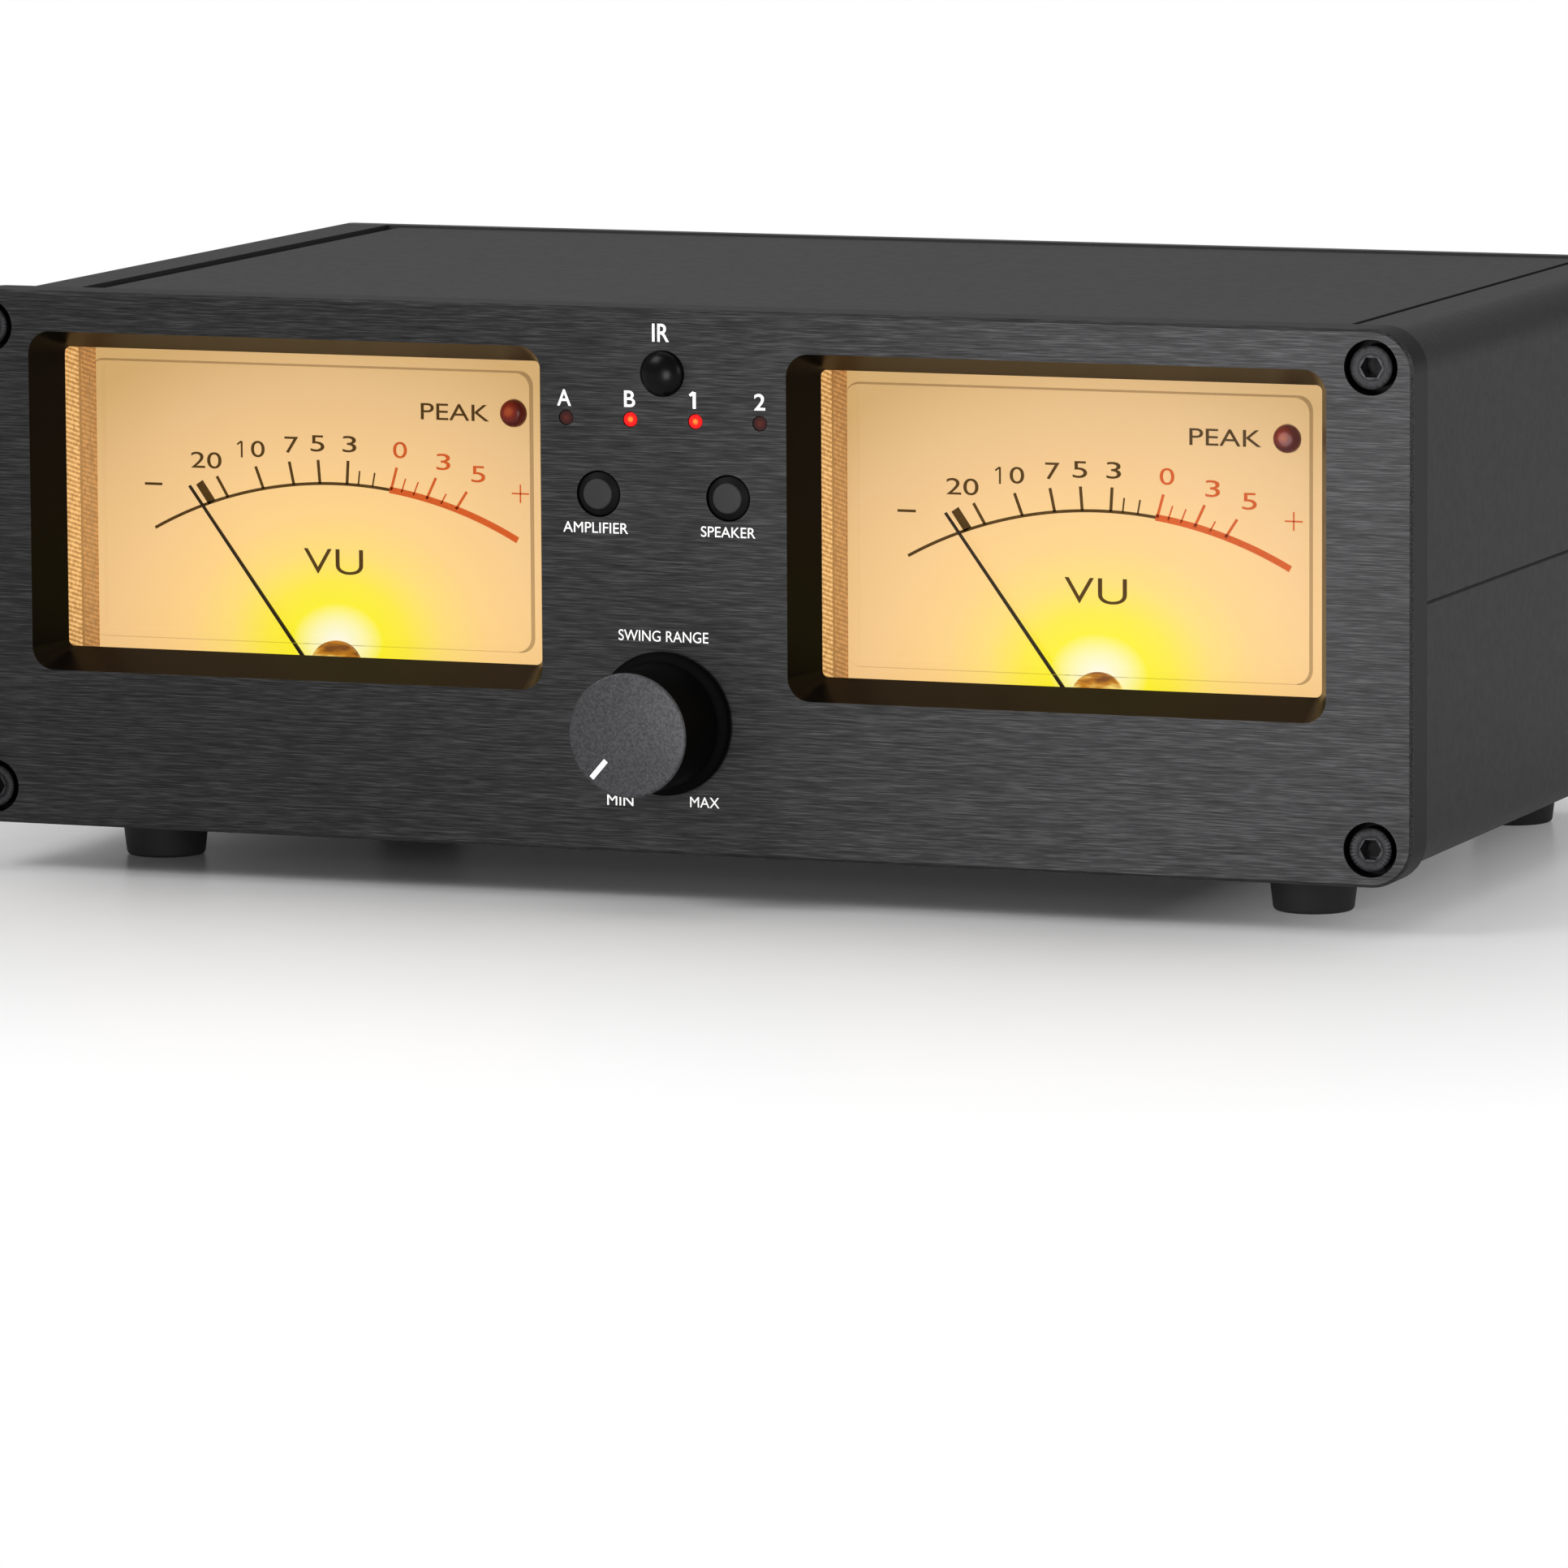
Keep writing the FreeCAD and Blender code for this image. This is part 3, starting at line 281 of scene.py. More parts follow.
def meter_wall():
    """Cream plastic of the meter case, with the light of the dial on it painted in as emission: a ribbed band
    and a darker band beside the dial.
    """
    rib_slant = 2600
    line_half = 0.35 * MM
    behind_dial = 1 * MM
    finish = Finish("meter_wall")
    ribs = (finish.z * (2 * math.pi / RIB_PITCH) + finish.y * rib_slant).maths("SINE")
    speckle = finish.noise(1500, detail=3.0)
    near_dial = finish.y.above(DIAL_FACE - DARK_BAND)
    line = abs(finish.y - (DIAL_FACE - DARK_BAND)).below(line_half)
    pattern = ribs * 0.22 + speckle
    inside = finish.y.below(DIAL_FACE + behind_dial)
    gold = finish.ramp(pattern, [(0.3, tone("6E4A26")), (0.5, tone("AD8450")), (0.7, tone("DDB77A"))])
    brown = finish.ramp(pattern, [(0.3, tone("3C241A")), (0.5, tone("6C462B")), (0.72, tone("A07244"))])
    # Painted light from the dial: gold on the ribbed band, darker beside the dial and a dark line between,
    # all as emission
    lit = finish.mix(line, finish.mix(near_dial, gold, brown), tone("4A3018"))
    return finish.surface(Base_Color=finish.mix(speckle, tone("A98653"), tone("C4A06A")),
                          Roughness=0.55 + 0.1 * speckle,
                          Emission_Color=finish.mix(inside, tone("000000"), lit), Emission_Strength=0.8,
                          Normal=finish.bump(pattern, 0.4))


def clear_cover():
    """Clear acrylic with the faintest haze; the edge of its raised face is painted as a thin brown line, a
    painted refraction.
    """
    line_start = 0.2 * MM
    line_wide = 0.8 * MM
    finish = Finish("clear_cover")
    haze = finish.noise(90, detail=3.0)
    front = COVER_FRONT + line_start
    # Painted refraction: a half-opaque brown band along the edge of the raised face
    line = finish.y.above(front) * finish.y.below(front + line_wide)
    return finish.surface(Base_Color=finish.mix(line, tone("120C04"), tone("5E3E1A")),
                          Roughness=0.05 + 0.1 * haze, Specular_IOR_Level=0.6,
                          Alpha=0.008 + 0.012 * haze + 0.5 * line)


def lamp(name, core, rim, edge, strength, radius, middles):
    """A small plastic lamp: brightest in its middle, darker towards its rim; on lamps that are off this glow
    is painted light.
    """
    finish = Finish(name)
    drift = finish.noise(900, detail=2.0)
    nearest = None
    for middle_x, middle_z in middles:
        across = finish.x - middle_x
        up = finish.z - middle_z
        away = (across * across + up * up).maths("SQRT")
        nearest = away if nearest is None else nearest.maths("MINIMUM", away)
    reach = nearest / radius + (drift - 0.5) * 0.3
    glow = finish.ramp(reach, [(0.18, tone(core)), (0.5, tone(rim)), (0.95, tone(edge))])
    return finish.surface(Base_Color=tone(edge), Roughness=0.2 + 0.1 * drift, Specular_IOR_Level=0.15,
                          Emission_Color=glow, Emission_Strength=strength)


def circuit_board():
    """Green board with faint tracks under the lacquer."""
    finish = Finish("circuit_board")
    mesh = finish.noise(1500, detail=2.0)
    tracks = finish.noise(180, (1, 1, 0.2), detail=0.0)
    copper = finish.ramp(tracks, [(0.49, tone("0F4A28")), (0.5, tone("1D6B3C")), (0.53, tone("0F4A28"))])
    return finish.surface(Base_Color=copper, Roughness=0.35 + 0.15 * mesh, Normal=finish.bump(mesh, 0.15))


def ribbon():
    """Grey flat cable, ribbed by its wires."""
    wire_pitch = 1.27 * MM
    finish = Finish("flat_cable")
    wires = (finish.x * (2 * math.pi / wire_pitch)).maths("COSINE")
    mottle = finish.noise(300)
    return finish.surface(Base_Color=finish.mix(mottle, tone("8F8F93"), tone("B4B4B8")),
                          Roughness=0.45 + 0.1 * mottle, Normal=finish.bump(wires, 0.8, 0.2 * MM))


def ink(name, colour, shade, glow=0.0):
    """Printed ink, a little uneven; glow gives it a painted glow as emission, which keeps its tone whatever
    light falls on it, also in front of a lit dial.
    """
    finish = Finish(name)
    patchy = finish.noise(2200, detail=3.0)
    mixed = finish.mix(patchy, tone(colour), tone(shade))
    return finish.surface(Base_Color=mixed, Roughness=0.55 + 0.1 * patchy, Emission_Color=mixed,
                          Emission_Strength=glow, Specular_IOR_Level=0.1,
                          Normal=finish.bump(patchy, 0.1, 0.01 * MM))


def knob_metal():
    """Matte black anodised knob with a fine sandy grain on its face; the face is painted a lighter grey as
    painted light and the side near black as painted shade.
    """
    face_depth = 0.3 * MM
    finish = Finish("knob_metal")
    grain = finish.noise(3200, detail=2.0)
    cloud = finish.noise(180)
    # Painted light and shade: the face gets a lighter grey than the black metal, the side near black
    side = finish.y.above(knob_low.y + face_depth)
    face = finish.ramp(grain, [(0.3, tone("38383A")), (0.7, tone("4E4E50"))])
    return finish.surface(Base_Color=finish.mix(side, face, tone("020202")), Metallic=0.6 - 0.6 * side,
                          Roughness=0.42 + 0.1 * cloud + 0.2 * side, Specular_IOR_Level=0.05,
                          Normal=finish.bump(grain, 0.25, 0.03 * MM))


def screw_black():
    """Black oxide on the case screws with a knurled rim; the rim and a ring round the key's hole are painted
    highlights, and the hole is painted shade.
    """
    knurls = 34
    knurl_start = 2.0 * MM
    finish = Finish("case_screws")
    across = abs(finish.x) - SCREW_X
    up = abs(finish.z - MIDDLE) - SCREW_Z
    radius = (across * across + up * up).maths("SQRT")
    knurl = (across.maths("ARCTAN2", up) * knurls).maths("SINE") * radius.above(knurl_start)
    mottle = finish.noise(1600, detail=3.0)
    # Painted highlights on the knurled rim and round the key's hole, painted shade in the hole, and darker
    # again at the head's edge
    ring = finish.ramp(radius / SCREW_RADIUS + (mottle - 0.5) * 0.2,
                       [(0.4, tone("060606")), (0.48, tone("39393B")), (0.6, tone("141415")),
                        (0.8, tone("39393B")), (0.98, tone("0C0C0C"))])
    return finish.surface(Base_Color=ring, Metallic=0.6, Specular_IOR_Level=0.15, Roughness=0.3 + 0.2 * mottle,
                          Normal=finish.bump(mottle * 0.5 + knurl * 0.3, 0.9, 0.08 * MM))


# Places and sizes of the lamps

LAMP_RISE = 20.7 * MM
LAMP_RADIUS = 0.9 * MM
INNER_LAMP_X = 4.45 * MM
OUTER_LAMP_X = 13.25 * MM
PEAK_X = 24.9 * MM
PEAK_RISE = 11.9 * MM
PEAK_RADIUS = 1.6 * MM
LAMPS_LIT = [(side * INNER_LAMP_X, MIDDLE + LAMP_RISE) for side in (-1, 1)]
LAMPS_OFF = [(side * OUTER_LAMP_X, MIDDLE + LAMP_RISE) for side in (-1, 1)]
LAMPS_PEAK = [(side * METER_X + PEAK_X, METER_Z + PEAK_RISE) for side in (-1, 1)]

# The finish of each material slot

FINISHES = {
    "panel_black": brushed_panel(),
    "shell_black": blasted_shell(),
    "rear_black": moulded("rear_paint", "2B2B2D", "323234", roughness=0.5, grain=1600, bump=0.5),
    "screw_black": screw_black(),
    "screw_steel": turned_metal("zinc_steel", "9A9C9E", "B5B6B5"),
    "foot_rubber": moulded("foot_rubber", "171717", "202020", roughness=0.7, grain=1300, bump=0.4),
    "knob_black": knob_metal(),
    "shaft_metal": turned_metal("turned_steel", "A5A6A8", "BBBCBE"),
    "control_metal": turned_metal("plated_steel", "8B8C8E", "A2A3A4", roughness=0.35),
    "button_grey": moulded("button_grey", "242425", "2E2E2F",
                           roughness=0.5, grain=2400, bump=0.35, specular=0.2),
    "switch_black": moulded("switch_black", "080808", "0E0E0F",
                            roughness=0.5, grain=1700, bump=0.3, specular=0.1),
    "lamp_lit": lamp("lamp_lit", "FF9A3C", "FF1A12", "B00C0C", 1.0, LAMP_RADIUS, LAMPS_LIT),
    # Painted glow: the unlit lamps glow dark red as emission, brighter in the middle
    "lamp_unlit": lamp("lamp_unlit", "5A2018", "3E1512", "200C0A", 0.8, LAMP_RADIUS, LAMPS_OFF),
    "eye_black": moulded("eye_black", "020202", "060505",
                         roughness=0.26, grain=900, bump=0.03, specular=0.1),
    "board_green": circuit_board(),
    "ribbon_grey": ribbon(),
    "pillar_brass": turned_metal("turned_brass", "B08D42", "C7A557"),
    "socket_red": moulded("socket_red", "A80E12", "BF161A", roughness=0.3, grain=1500, bump=0.12, coat=0.3),
    "socket_black": moulded("socket_black", "141415", "1E1E20",
                            roughness=0.3, grain=1500, bump=0.12, coat=0.3),
    "contact_gold": turned_metal("gold_plate", "D9A94A", "E8BE66", roughness=0.2),
    "case_cream": meter_wall(),
    "cover_clear": clear_cover(),
    "dial_cream": dial_face(),
    "needle_black": moulded("needle_black", "1E1408", "2C1F0C",
                            roughness=0.5, grain=2500, bump=0.1, specular=0.15),
    "coil_copper": turned_metal("copper_wire", "9A4E22", "B5632E", roughness=0.35, pitch=4000),
    "yoke_iron": moulded("soft_iron", "6A6A6C", "7B7B7C",
                         roughness=0.45, grain=1200, bump=0.3, metallic=1.0),
    "magnet_grey": moulded("magnet_grey", "3F4042", "4C4D4F",
                           roughness=0.5, grain=1200, bump=0.4, metallic=0.6),
    "bridge_brass": turned_metal("stamped_brass", "B0944F", "C6A961", roughness=0.35),
    "board_white": moulded("board_white", "D8D8D2", "E6E6E1", roughness=0.45, grain=1400, bump=0.1),
    "bulb_warm": moulded("bulb_warm", "FFE2A0", "FFF0C8", roughness=0.2, grain=900, bump=0.02),
}
for row in frame["record"]["subparts"]:
    node = frame["nodes"][row["node"]]
    node.data.materials.clear()
    node.data.materials.append(FINISHES[row["material_slot"]])

# Painted glow: the peak lamps glow dim red-brown as emission, brighter in the middle
peak_finish = lamp("peak_lamp", "A4481E", "74200F", "3A100C", 0.85, PEAK_RADIUS, LAMPS_PEAK)
for side in ("left", "right"):
    frame["nodes"][f"{side}_peak_lamp"].data.materials[0] = peak_finish

# Painted glow: the white lettering of the panel and the knob glows a little as emission
WHITE_INK = ink("white_ink", "F2F2F0", "DCDCDA", glow=0.35)
DARK_INK = ink("dark_ink", "48320F", "5C421A")
# Painted glow: the red ink on the dial glows a little as emission
RED_INK = ink("red_ink", "C4521C", "D26028", glow=0.1)


# Shaping

# Angles between faces, in degrees: shading stays sharp over the first, and a bevel is cut over the second
CREASE = 35
RIM = 40
BEVEL_SEGMENTS = 3
BAND_STEPS = 72
MERGE_DISTANCE = 1e-7


def finished(name, work, material, body="case"):
    """Turns a bmesh into a piece that rides on a body; edges sharper than the crease angle stay sharp."""
    bmesh.ops.remove_doubles(work, verts=work.verts, dist=MERGE_DISTANCE)
    bmesh.ops.recalc_face_normals(work, faces=work.faces)
    for face in work.faces:
        face.smooth = True
    for edge in work.edges:
        edge.smooth = len(edge.link_faces) == 2 and edge.calc_face_angle() < math.radians(CREASE)
    mesh = bpy.data.meshes.new(name)
    work.to_mesh(mesh)
    work.free()
    mesh.materials.append(material)
    piece = bpy.data.objects.new(name, mesh)
    bpy.context.collection.objects.link(piece)
    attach(piece, body)
    return piece


def turned(work, profile, centre, axis=Vector((0, 1, 0)), steps=96, bevel=0.0):
    """Adds a turned solid: profile holds (radius, place along axis), closed or with both ends on the axis."""
    side = Vector((1, 0, 0))
    line = [work.verts.new(centre + side * radius + axis * place) for radius, place in profile]
    edges = [work.edges.new(pair) for pair in zip(line, line[1:])]
    bmesh.ops.spin(work, geom=line + edges, cent=centre, axis=axis, angle=2 * math.pi, steps=steps,
                   use_merge=True)
    bmesh.ops.remove_doubles(work, verts=work.verts, dist=MERGE_DISTANCE)
    if bevel:
        rims = [edge for edge in work.edges if len(edge.link_faces) == 2
                and edge.calc_face_angle() > math.radians(RIM)]
        bmesh.ops.bevel(work, geom=rims, offset=bevel, segments=BEVEL_SEGMENTS, profile=0.5,
                        affect="EDGES", material=-1, clamp_overlap=True)


def bar(work, centre, along, length, width):
    """Adds a thin printed bar that faces the front; along is its direction in X and Z."""
    direction = Vector((along[0], 0, along[1])).normalized()
    across = direction.cross(Vector((0, 1, 0)))
    turn = Matrix((across, Vector((0, 1, 0)), direction)).transposed().to_4x4()
    size = Matrix.Diagonal((width, PRINT_THICK, length, 1))
    bmesh.ops.create_cube(work, size=1, matrix=Matrix.Translation(centre) @ turn @ size)


def band(centre, radius, width, first, last, face):
    """A bmesh of part of a printed ring facing the front; angles run clockwise from the top, in degrees."""
    start = math.radians(first)
    aim = Vector((math.sin(start), 0, math.cos(start)))
    hub = Vector((centre[0], face, centre[1]))
    work = bmesh.new()
    ends = [work.verts.new(hub + aim * (radius + side * width / 2)) for side in (-1, 1)]
    edge = work.edges.new(ends)
    bmesh.ops.spin(work, geom=ends + [edge], cent=hub, axis=Vector((0, 1, 0)),
                   angle=math.radians(last - first), steps=BAND_STEPS)
    bmesh.ops.solidify(work, geom=work.faces[:], thickness=PRINT_THICK)
    return work


def letters(text, middle, height, width, face, bold=0.0):
    """A bmesh of flat lettering that faces the front; bold moves its outline outwards."""
    curve = bpy.data.curves.new("lettering", "FONT")
    curve.body = text
    curve.extrude = 0.1
    curve.offset = bold
    holder = bpy.data.objects.new("lettering", curve)
    bpy.context.collection.objects.link(holder)
    bpy.context.view_layer.update()
    mesh = bpy.data.meshes.new_from_object(holder)
    bpy.data.objects.remove(holder)
    bpy.data.curves.remove(curve)
    work = bmesh.new()
    work.from_mesh(mesh)
    bpy.data.meshes.remove(mesh)
    low = Vector([min(vert.co[axis] for vert in work.verts) for axis in range(3)])
    high = Vector([max(vert.co[axis] for vert in work.verts) for axis in range(3)])
    wanted = (width, height, PRINT_THICK)
    scale = [new / (top - bottom) for new, top, bottom in zip(wanted, high, low)]
    bmesh.ops.translate(work, verts=work.verts, vec=-(low + high) / 2)
    bmesh.ops.scale(work, verts=work.verts, vec=scale)
    turn = Matrix.Rotation(math.radians(90), 4, "X")
    move = Matrix.Translation((middle[0], face - PRINT_THICK / 2, middle[1]))
    bmesh.ops.transform(work, matrix=move @ turn, verts=work.verts)
    return work


# Dial printing

PRINT_GAP = 0.01 * MM
DIAL_PRINT = DIAL_FACE - PRINT_GAP
ARC_RADIUS = 53.6 * MM
ARC_TOP = 1.6 * MM
ZERO_ANGLE = 8.2
ARC_START = -28.8
ARC_END = 28.6
LONG_TICK = 3.1 * MM
SHORT_TICK = 1.9 * MM
REST_MARK = -34.6
LINE_WIDE = 0.4 * MM
FINE_LINE = 0.22 * MM
RED_BAND_WIDE = 0.85 * MM
RED_TICK_WIDE = 0.36 * MM
THIN_STROKE = 0.2 * MM
REST_MARK_WIDE = 1.15 * MM
# Ticks: the angle at the pivot in degrees, and the length
BLACK_TICKS = ((-30.2, LONG_TICK), (-20.4, LONG_TICK), (-11.8, LONG_TICK), (-4.4, LONG_TICK),
               (3.3, LONG_TICK), (6.5, SHORT_TICK), (10.5, SHORT_TICK))
RED_TICKS = ((15.7, LONG_TICK), (18.6, SHORT_TICK), (21.9, SHORT_TICK), (25.5, LONG_TICK),
             (29.4, SHORT_TICK * 0.8), (33.4, LONG_TICK * 0.9))
# Figures: their places across and up from the window's middle, in millimetres
ONE_OF_TEN = (-13.3, 5.7)
BLACK_MARKS = (("20", -18.4, 4.1), ("0", -11.0, 5.8), ("7", -6.2, 6.5), ("5", -2.5, 6.8), ("3", 2.05, 6.85))
RED_MARKS = (("0", 9.2, 6.3), ("3", 15.3, 4.95), ("5", 20.2, 3.5))
MINUS = (-26.0, 0.75)
PLUS = (26.1, 1.15)
MINUS_LONG = 2.5 * MM
MINUS_WIDE = 0.34 * MM
PLUS_LONG = 2.4 * MM
DIGIT_TALL = 2.15 * MM
DIGIT_WIDE = 1.95 * MM
PAIR_STRETCH = 1.12
ONE_WIDE = 0.26 * MM
# Words: their places across and up from the window's middle, heights and widths, in millimetres
UNIT_WORD = (-0.4, -8.65, 3.3, 8.4)
UNIT_THINNER = -0.008
PEAK_WORD = (17.0, 11.5, 2.15, 9.6)


def arc_height(x):
    """The printed arc's height over the window's middle at a distance x from the meter's middle."""
    return ARC_TOP - ARC_RADIUS + math.sqrt(ARC_RADIUS ** 2 - x ** 2)


def on_dial(meter_x, across, up):
    """The place of a printed bar's middle; across and up are in millimetres from the window's middle."""
    return Vector((meter_x + across * MM, DIAL_PRINT - PRINT_THICK / 2, METER_Z + up * MM))


def tick(work, meter_x, angle, length, width):
    """A tick on the arc that points away from the needle's pivot."""
    aim = (math.sin(math.radians(angle)), math.cos(math.radians(angle)))
    # A few rounds settle on the place where the aim meets the arc
    reach = PIVOT_DROP + ARC_TOP
    for _ in range(6):
        reach = (arc_height(reach * aim[0]) + PIVOT_DROP) / aim[1]
    middle = reach + length / 2
    pivot_z = METER_Z - PIVOT_DROP
    centre = Vector((meter_x + aim[0] * middle, DIAL_PRINT - PRINT_THICK / 2, pivot_z + aim[1] * middle))
    bar(work, centre, aim, length, width)


def figure_one(work, middle, height, width, face):
    """The figure 1 as a stroke with a flag, whose place and length are parts of the figure's height."""
    flag_across, flag_up, flag_long = -0.16, 0.39, 0.34
    flag_aim = (0.8, 0.6)
    flag_thinner = 0.9
    centre = Vector((middle[0], face - PRINT_THICK / 2, middle[1]))
    bar(work, centre, (0, 1), height, width)
    flag = centre + Vector((flag_across * height, 0, flag_up * height))
    bar(work, flag, flag_aim, flag_long * height, width * flag_thinner)


def add_letters(work, *arguments, **settings):
    """Joins lettering to a bmesh that is being made."""
    extra = letters(*arguments, **settings)
    mesh = bpy.data.meshes.new("lettering")
    extra.to_mesh(mesh)
    extra.free()
    work.from_mesh(mesh)
    bpy.data.meshes.remove(mesh)


def dial_word(work, text, meter_x, place, bold=0.0):
    """Adds a word to a dial; place holds its place across and up, its height and its width."""
    across, up, tall, wide = place
    middle = (meter_x + across * MM, METER_Z + up * MM)
    add_letters(work, text, middle, tall * MM, wide * MM, DIAL_PRINT, bold=bold)


def black_scale(side, meter_x, centre):
    """The black arc with its ticks, figures, words and minus sign."""
    work = band(centre, ARC_RADIUS, LINE_WIDE, ARC_START, ZERO_ANGLE, DIAL_PRINT)
    for angle, length in BLACK_TICKS:
        tick(work, meter_x, angle, length, LINE_WIDE if length == LONG_TICK else FINE_LINE)
    tick(work, meter_x, REST_MARK, LONG_TICK, REST_MARK_WIDE)
    for text, x, z in BLACK_MARKS:
        wide = DIGIT_WIDE * len(text) * (PAIR_STRETCH if len(text) > 1 else 1)
        add_letters(work, text, (meter_x + x * MM, METER_Z + z * MM), DIGIT_TALL, wide, DIAL_PRINT)
    one = (meter_x + ONE_OF_TEN[0] * MM, METER_Z + ONE_OF_TEN[1] * MM)
    figure_one(work, one, DIGIT_TALL, ONE_WIDE, DIAL_PRINT)
    dial_word(work, "VU", meter_x, UNIT_WORD, bold=UNIT_THINNER)
    dial_word(work, "PEAK", meter_x, PEAK_WORD)
    bar(work, on_dial(meter_x, *MINUS), (1, 0), MINUS_LONG, MINUS_WIDE)
    finished(f"{side}_scale_black", work, DARK_INK)


def red_scale(side, meter_x, centre):
    """The red arc with its ticks, figures and plus sign."""
    work = band(centre, ARC_RADIUS, RED_BAND_WIDE, ZERO_ANGLE, ARC_END, DIAL_PRINT)
    for angle, length in RED_TICKS:
        tick(work, meter_x, angle, length, RED_TICK_WIDE if length > SHORT_TICK else THIN_STROKE)
    for text, x, z in RED_MARKS:
        add_letters(work, text, (meter_x + x * MM, METER_Z + z * MM), DIGIT_TALL, DIGIT_WIDE, DIAL_PRINT)
    for along in ((1, 0), (0, 1)):
        bar(work, on_dial(meter_x, *PLUS), along, PLUS_LONG, THIN_STROKE)
    finished(f"{side}_scale_red", work, RED_INK)


for side, meter_x in (("left", -METER_X), ("right", METER_X)):
    arc_centre = (meter_x, METER_Z + ARC_TOP - ARC_RADIUS)
    black_scale(side, meter_x, arc_centre)
    red_scale(side, meter_x, arc_centre)

# Panel lettering

# Letters taller than this, in millimetres, have a bolder outline
BOLD_FROM = 2
BOLD = 0.01
# The figure 1 and the words: places across and up from the panel's middle, heights and widths, in millimetres
FIGURE_ONE = (4.35, 23.4, 2.1, 0.42)
PANEL_WORDS = (("IR", -0.2, 31.9, 2.3, 2.3), ("A", -13.5, 23.25, 2.1, 1.9), ("B", -4.5, 23.35, 2.1, 1.5),
               ("2", 13.25, 23.45, 2.1, 1.5), ("AMPLIFIER", -9.3, 6.7, 1.35, 8.9),
               ("SPEAKER", 8.85, 6.7, 1.35, 7.4), ("SWING RANGE", -0.1, -6.95, 1.4, 12.3),
               ("MIN", -6.2, -28.3, 1.35, 3.6), ("MAX", 5.4, -28.1, 1.35, 4.0))
words = bmesh.new()
for text, x, z, tall, wide in PANEL_WORDS:
    bold = BOLD if tall > BOLD_FROM else 0.0
    add_letters(words, text, (x * MM, MIDDLE + z * MM), tall * MM, wide * MM, FRONT, bold=bold)
one_x, one_z, one_tall, one_wide = FIGURE_ONE
figure_one(words, (one_x * MM, MIDDLE + one_z * MM), one_tall * MM, one_wide * MM, FRONT)
finished("panel_lettering", words, WHITE_INK)


# Turned pieces that stand for the plain ones

POINTER_TURN = -139
POINTER_LONG = 3.0 * MM
POINTER_WIDE = 0.66 * MM
POINTER_PLACE = 5.9 * MM
POINTER_LIFT = 0.005 * MM
KNOB_RADIUS = 8.0 * MM
KNOB_HOLLOW = 6.6 * MM
KNOB_HOLLOW_DEEP = 3.2 * MM
KNOB_BORE = 3.05 * MM
KNOB_WALL = 2.6 * MM
KNOB_BEVEL = 0.35 * MM
FLANGE_RADIUS = 9.25 * MM
FLANGE_ROUND = 0.2 * MM
FLANGE_START = 1.6 * MM
FLANGE_TURN = 1.1 * MM
FLANGE_EDGE = 0.4 * MM


def knob():
    """The knob with its flange and hollow back, and the white line on its face."""
    reach = knob_low.y + PRINT_THICK
    back = knob_high.y
    hollow_end = back - KNOB_HOLLOW_DEEP
    bore_end = reach + KNOB_WALL
    outline = [(0, reach), (KNOB_RADIUS, reach), (KNOB_RADIUS, back - FLANGE_START),
               (FLANGE_RADIUS - FLANGE_ROUND, back - FLANGE_TURN), (FLANGE_RADIUS, back - FLANGE_EDGE),
               (FLANGE_RADIUS, back), (KNOB_HOLLOW, back), (KNOB_HOLLOW, hollow_end), (KNOB_BORE, hollow_end),
               (KNOB_BORE, bore_end), (0, bore_end)]
    work = bmesh.new()
    turned(work, outline, Vector((0, 0, KNOB_Z)), steps=160, bevel=KNOB_BEVEL)
    piece = finished("knob_turned", work, FINISHES["knob_black"], body="volume_knob")
    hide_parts("knob")
    line = bmesh.new()
    aim = (math.sin(math.radians(POINTER_TURN)), math.cos(math.radians(POINTER_TURN)))
    centre = Vector((aim[0] * POINTER_PLACE, reach - POINTER_LIFT, KNOB_Z + aim[1] * POINTER_PLACE))
    bar(line, centre, aim, POINTER_LONG, POINTER_WIDE)
    finished("knob_pointer", line, WHITE_INK, body="volume_knob")


FOOT_RADIUS = 6.05 * MM
FOOT_SOLE = 5.15 * MM
FOOT_WELL = 3.5 * MM
FOOT_WELL_DEEP = 3.6 * MM
FOOT_BORE = 1.7 * MM
FOOT_BEVEL = 0.5 * MM


def feet():
    """The four tapered rubber feet, each with a well and a hole for its screw."""
    work = bmesh.new()
    low, high = (Vector(corner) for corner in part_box("rubber_feet"))
    outline = [(FOOT_BORE, FOOT_WELL_DEEP), (FOOT_WELL, FOOT_WELL_DEEP), (FOOT_WELL, 0), (FOOT_SOLE, 0),
               (FOOT_RADIUS, high.z), (FOOT_BORE, high.z), (FOOT_BORE, FOOT_WELL_DEEP)]
    for x in (low.x + FOOT_RADIUS, high.x - FOOT_RADIUS):
        for y in (low.y + FOOT_RADIUS, high.y - FOOT_RADIUS):
            single = bmesh.new()
            turned(single, outline, Vector((x, y, 0)), Vector((0, 0, 1)), bevel=FOOT_BEVEL)
            mesh = bpy.data.meshes.new("foot")
            single.to_mesh(mesh)
            single.free()
            work.from_mesh(mesh)
            bpy.data.meshes.remove(mesh)
    piece = finished("feet_moulded", work, FINISHES["foot_rubber"])
    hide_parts("rubber_feet")


DOME_STEPS = 12
DOME_NECK = 2.3 * MM
DOME_NECK_LONG = 6 * MM


def infrared_dome():
    """The remote receiver's dome on its neck."""
    low, high = (Vector(corner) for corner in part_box("infrared_lens"))
    radius = (high.x - low.x) / 2
    rise = FRONT - low.y
    turns = [step * math.pi / (2 * DOME_STEPS) for step in range(DOME_STEPS + 1)]
    bulge = [(radius * math.sin(turn), -rise * math.cos(turn)) for turn in turns]
    neck = [(DOME_NECK, 0), (DOME_NECK, DOME_NECK_LONG), (0, DOME_NECK_LONG)]
    work = bmesh.new()
    turned(work, bulge + neck, Vector((0, FRONT, (low.z + high.z) / 2)))
    piece = finished("infrared_dome", work, FINISHES["eye_black"])
    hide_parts("infrared_lens")


BUTTON_BEVEL = 0.12 * MM


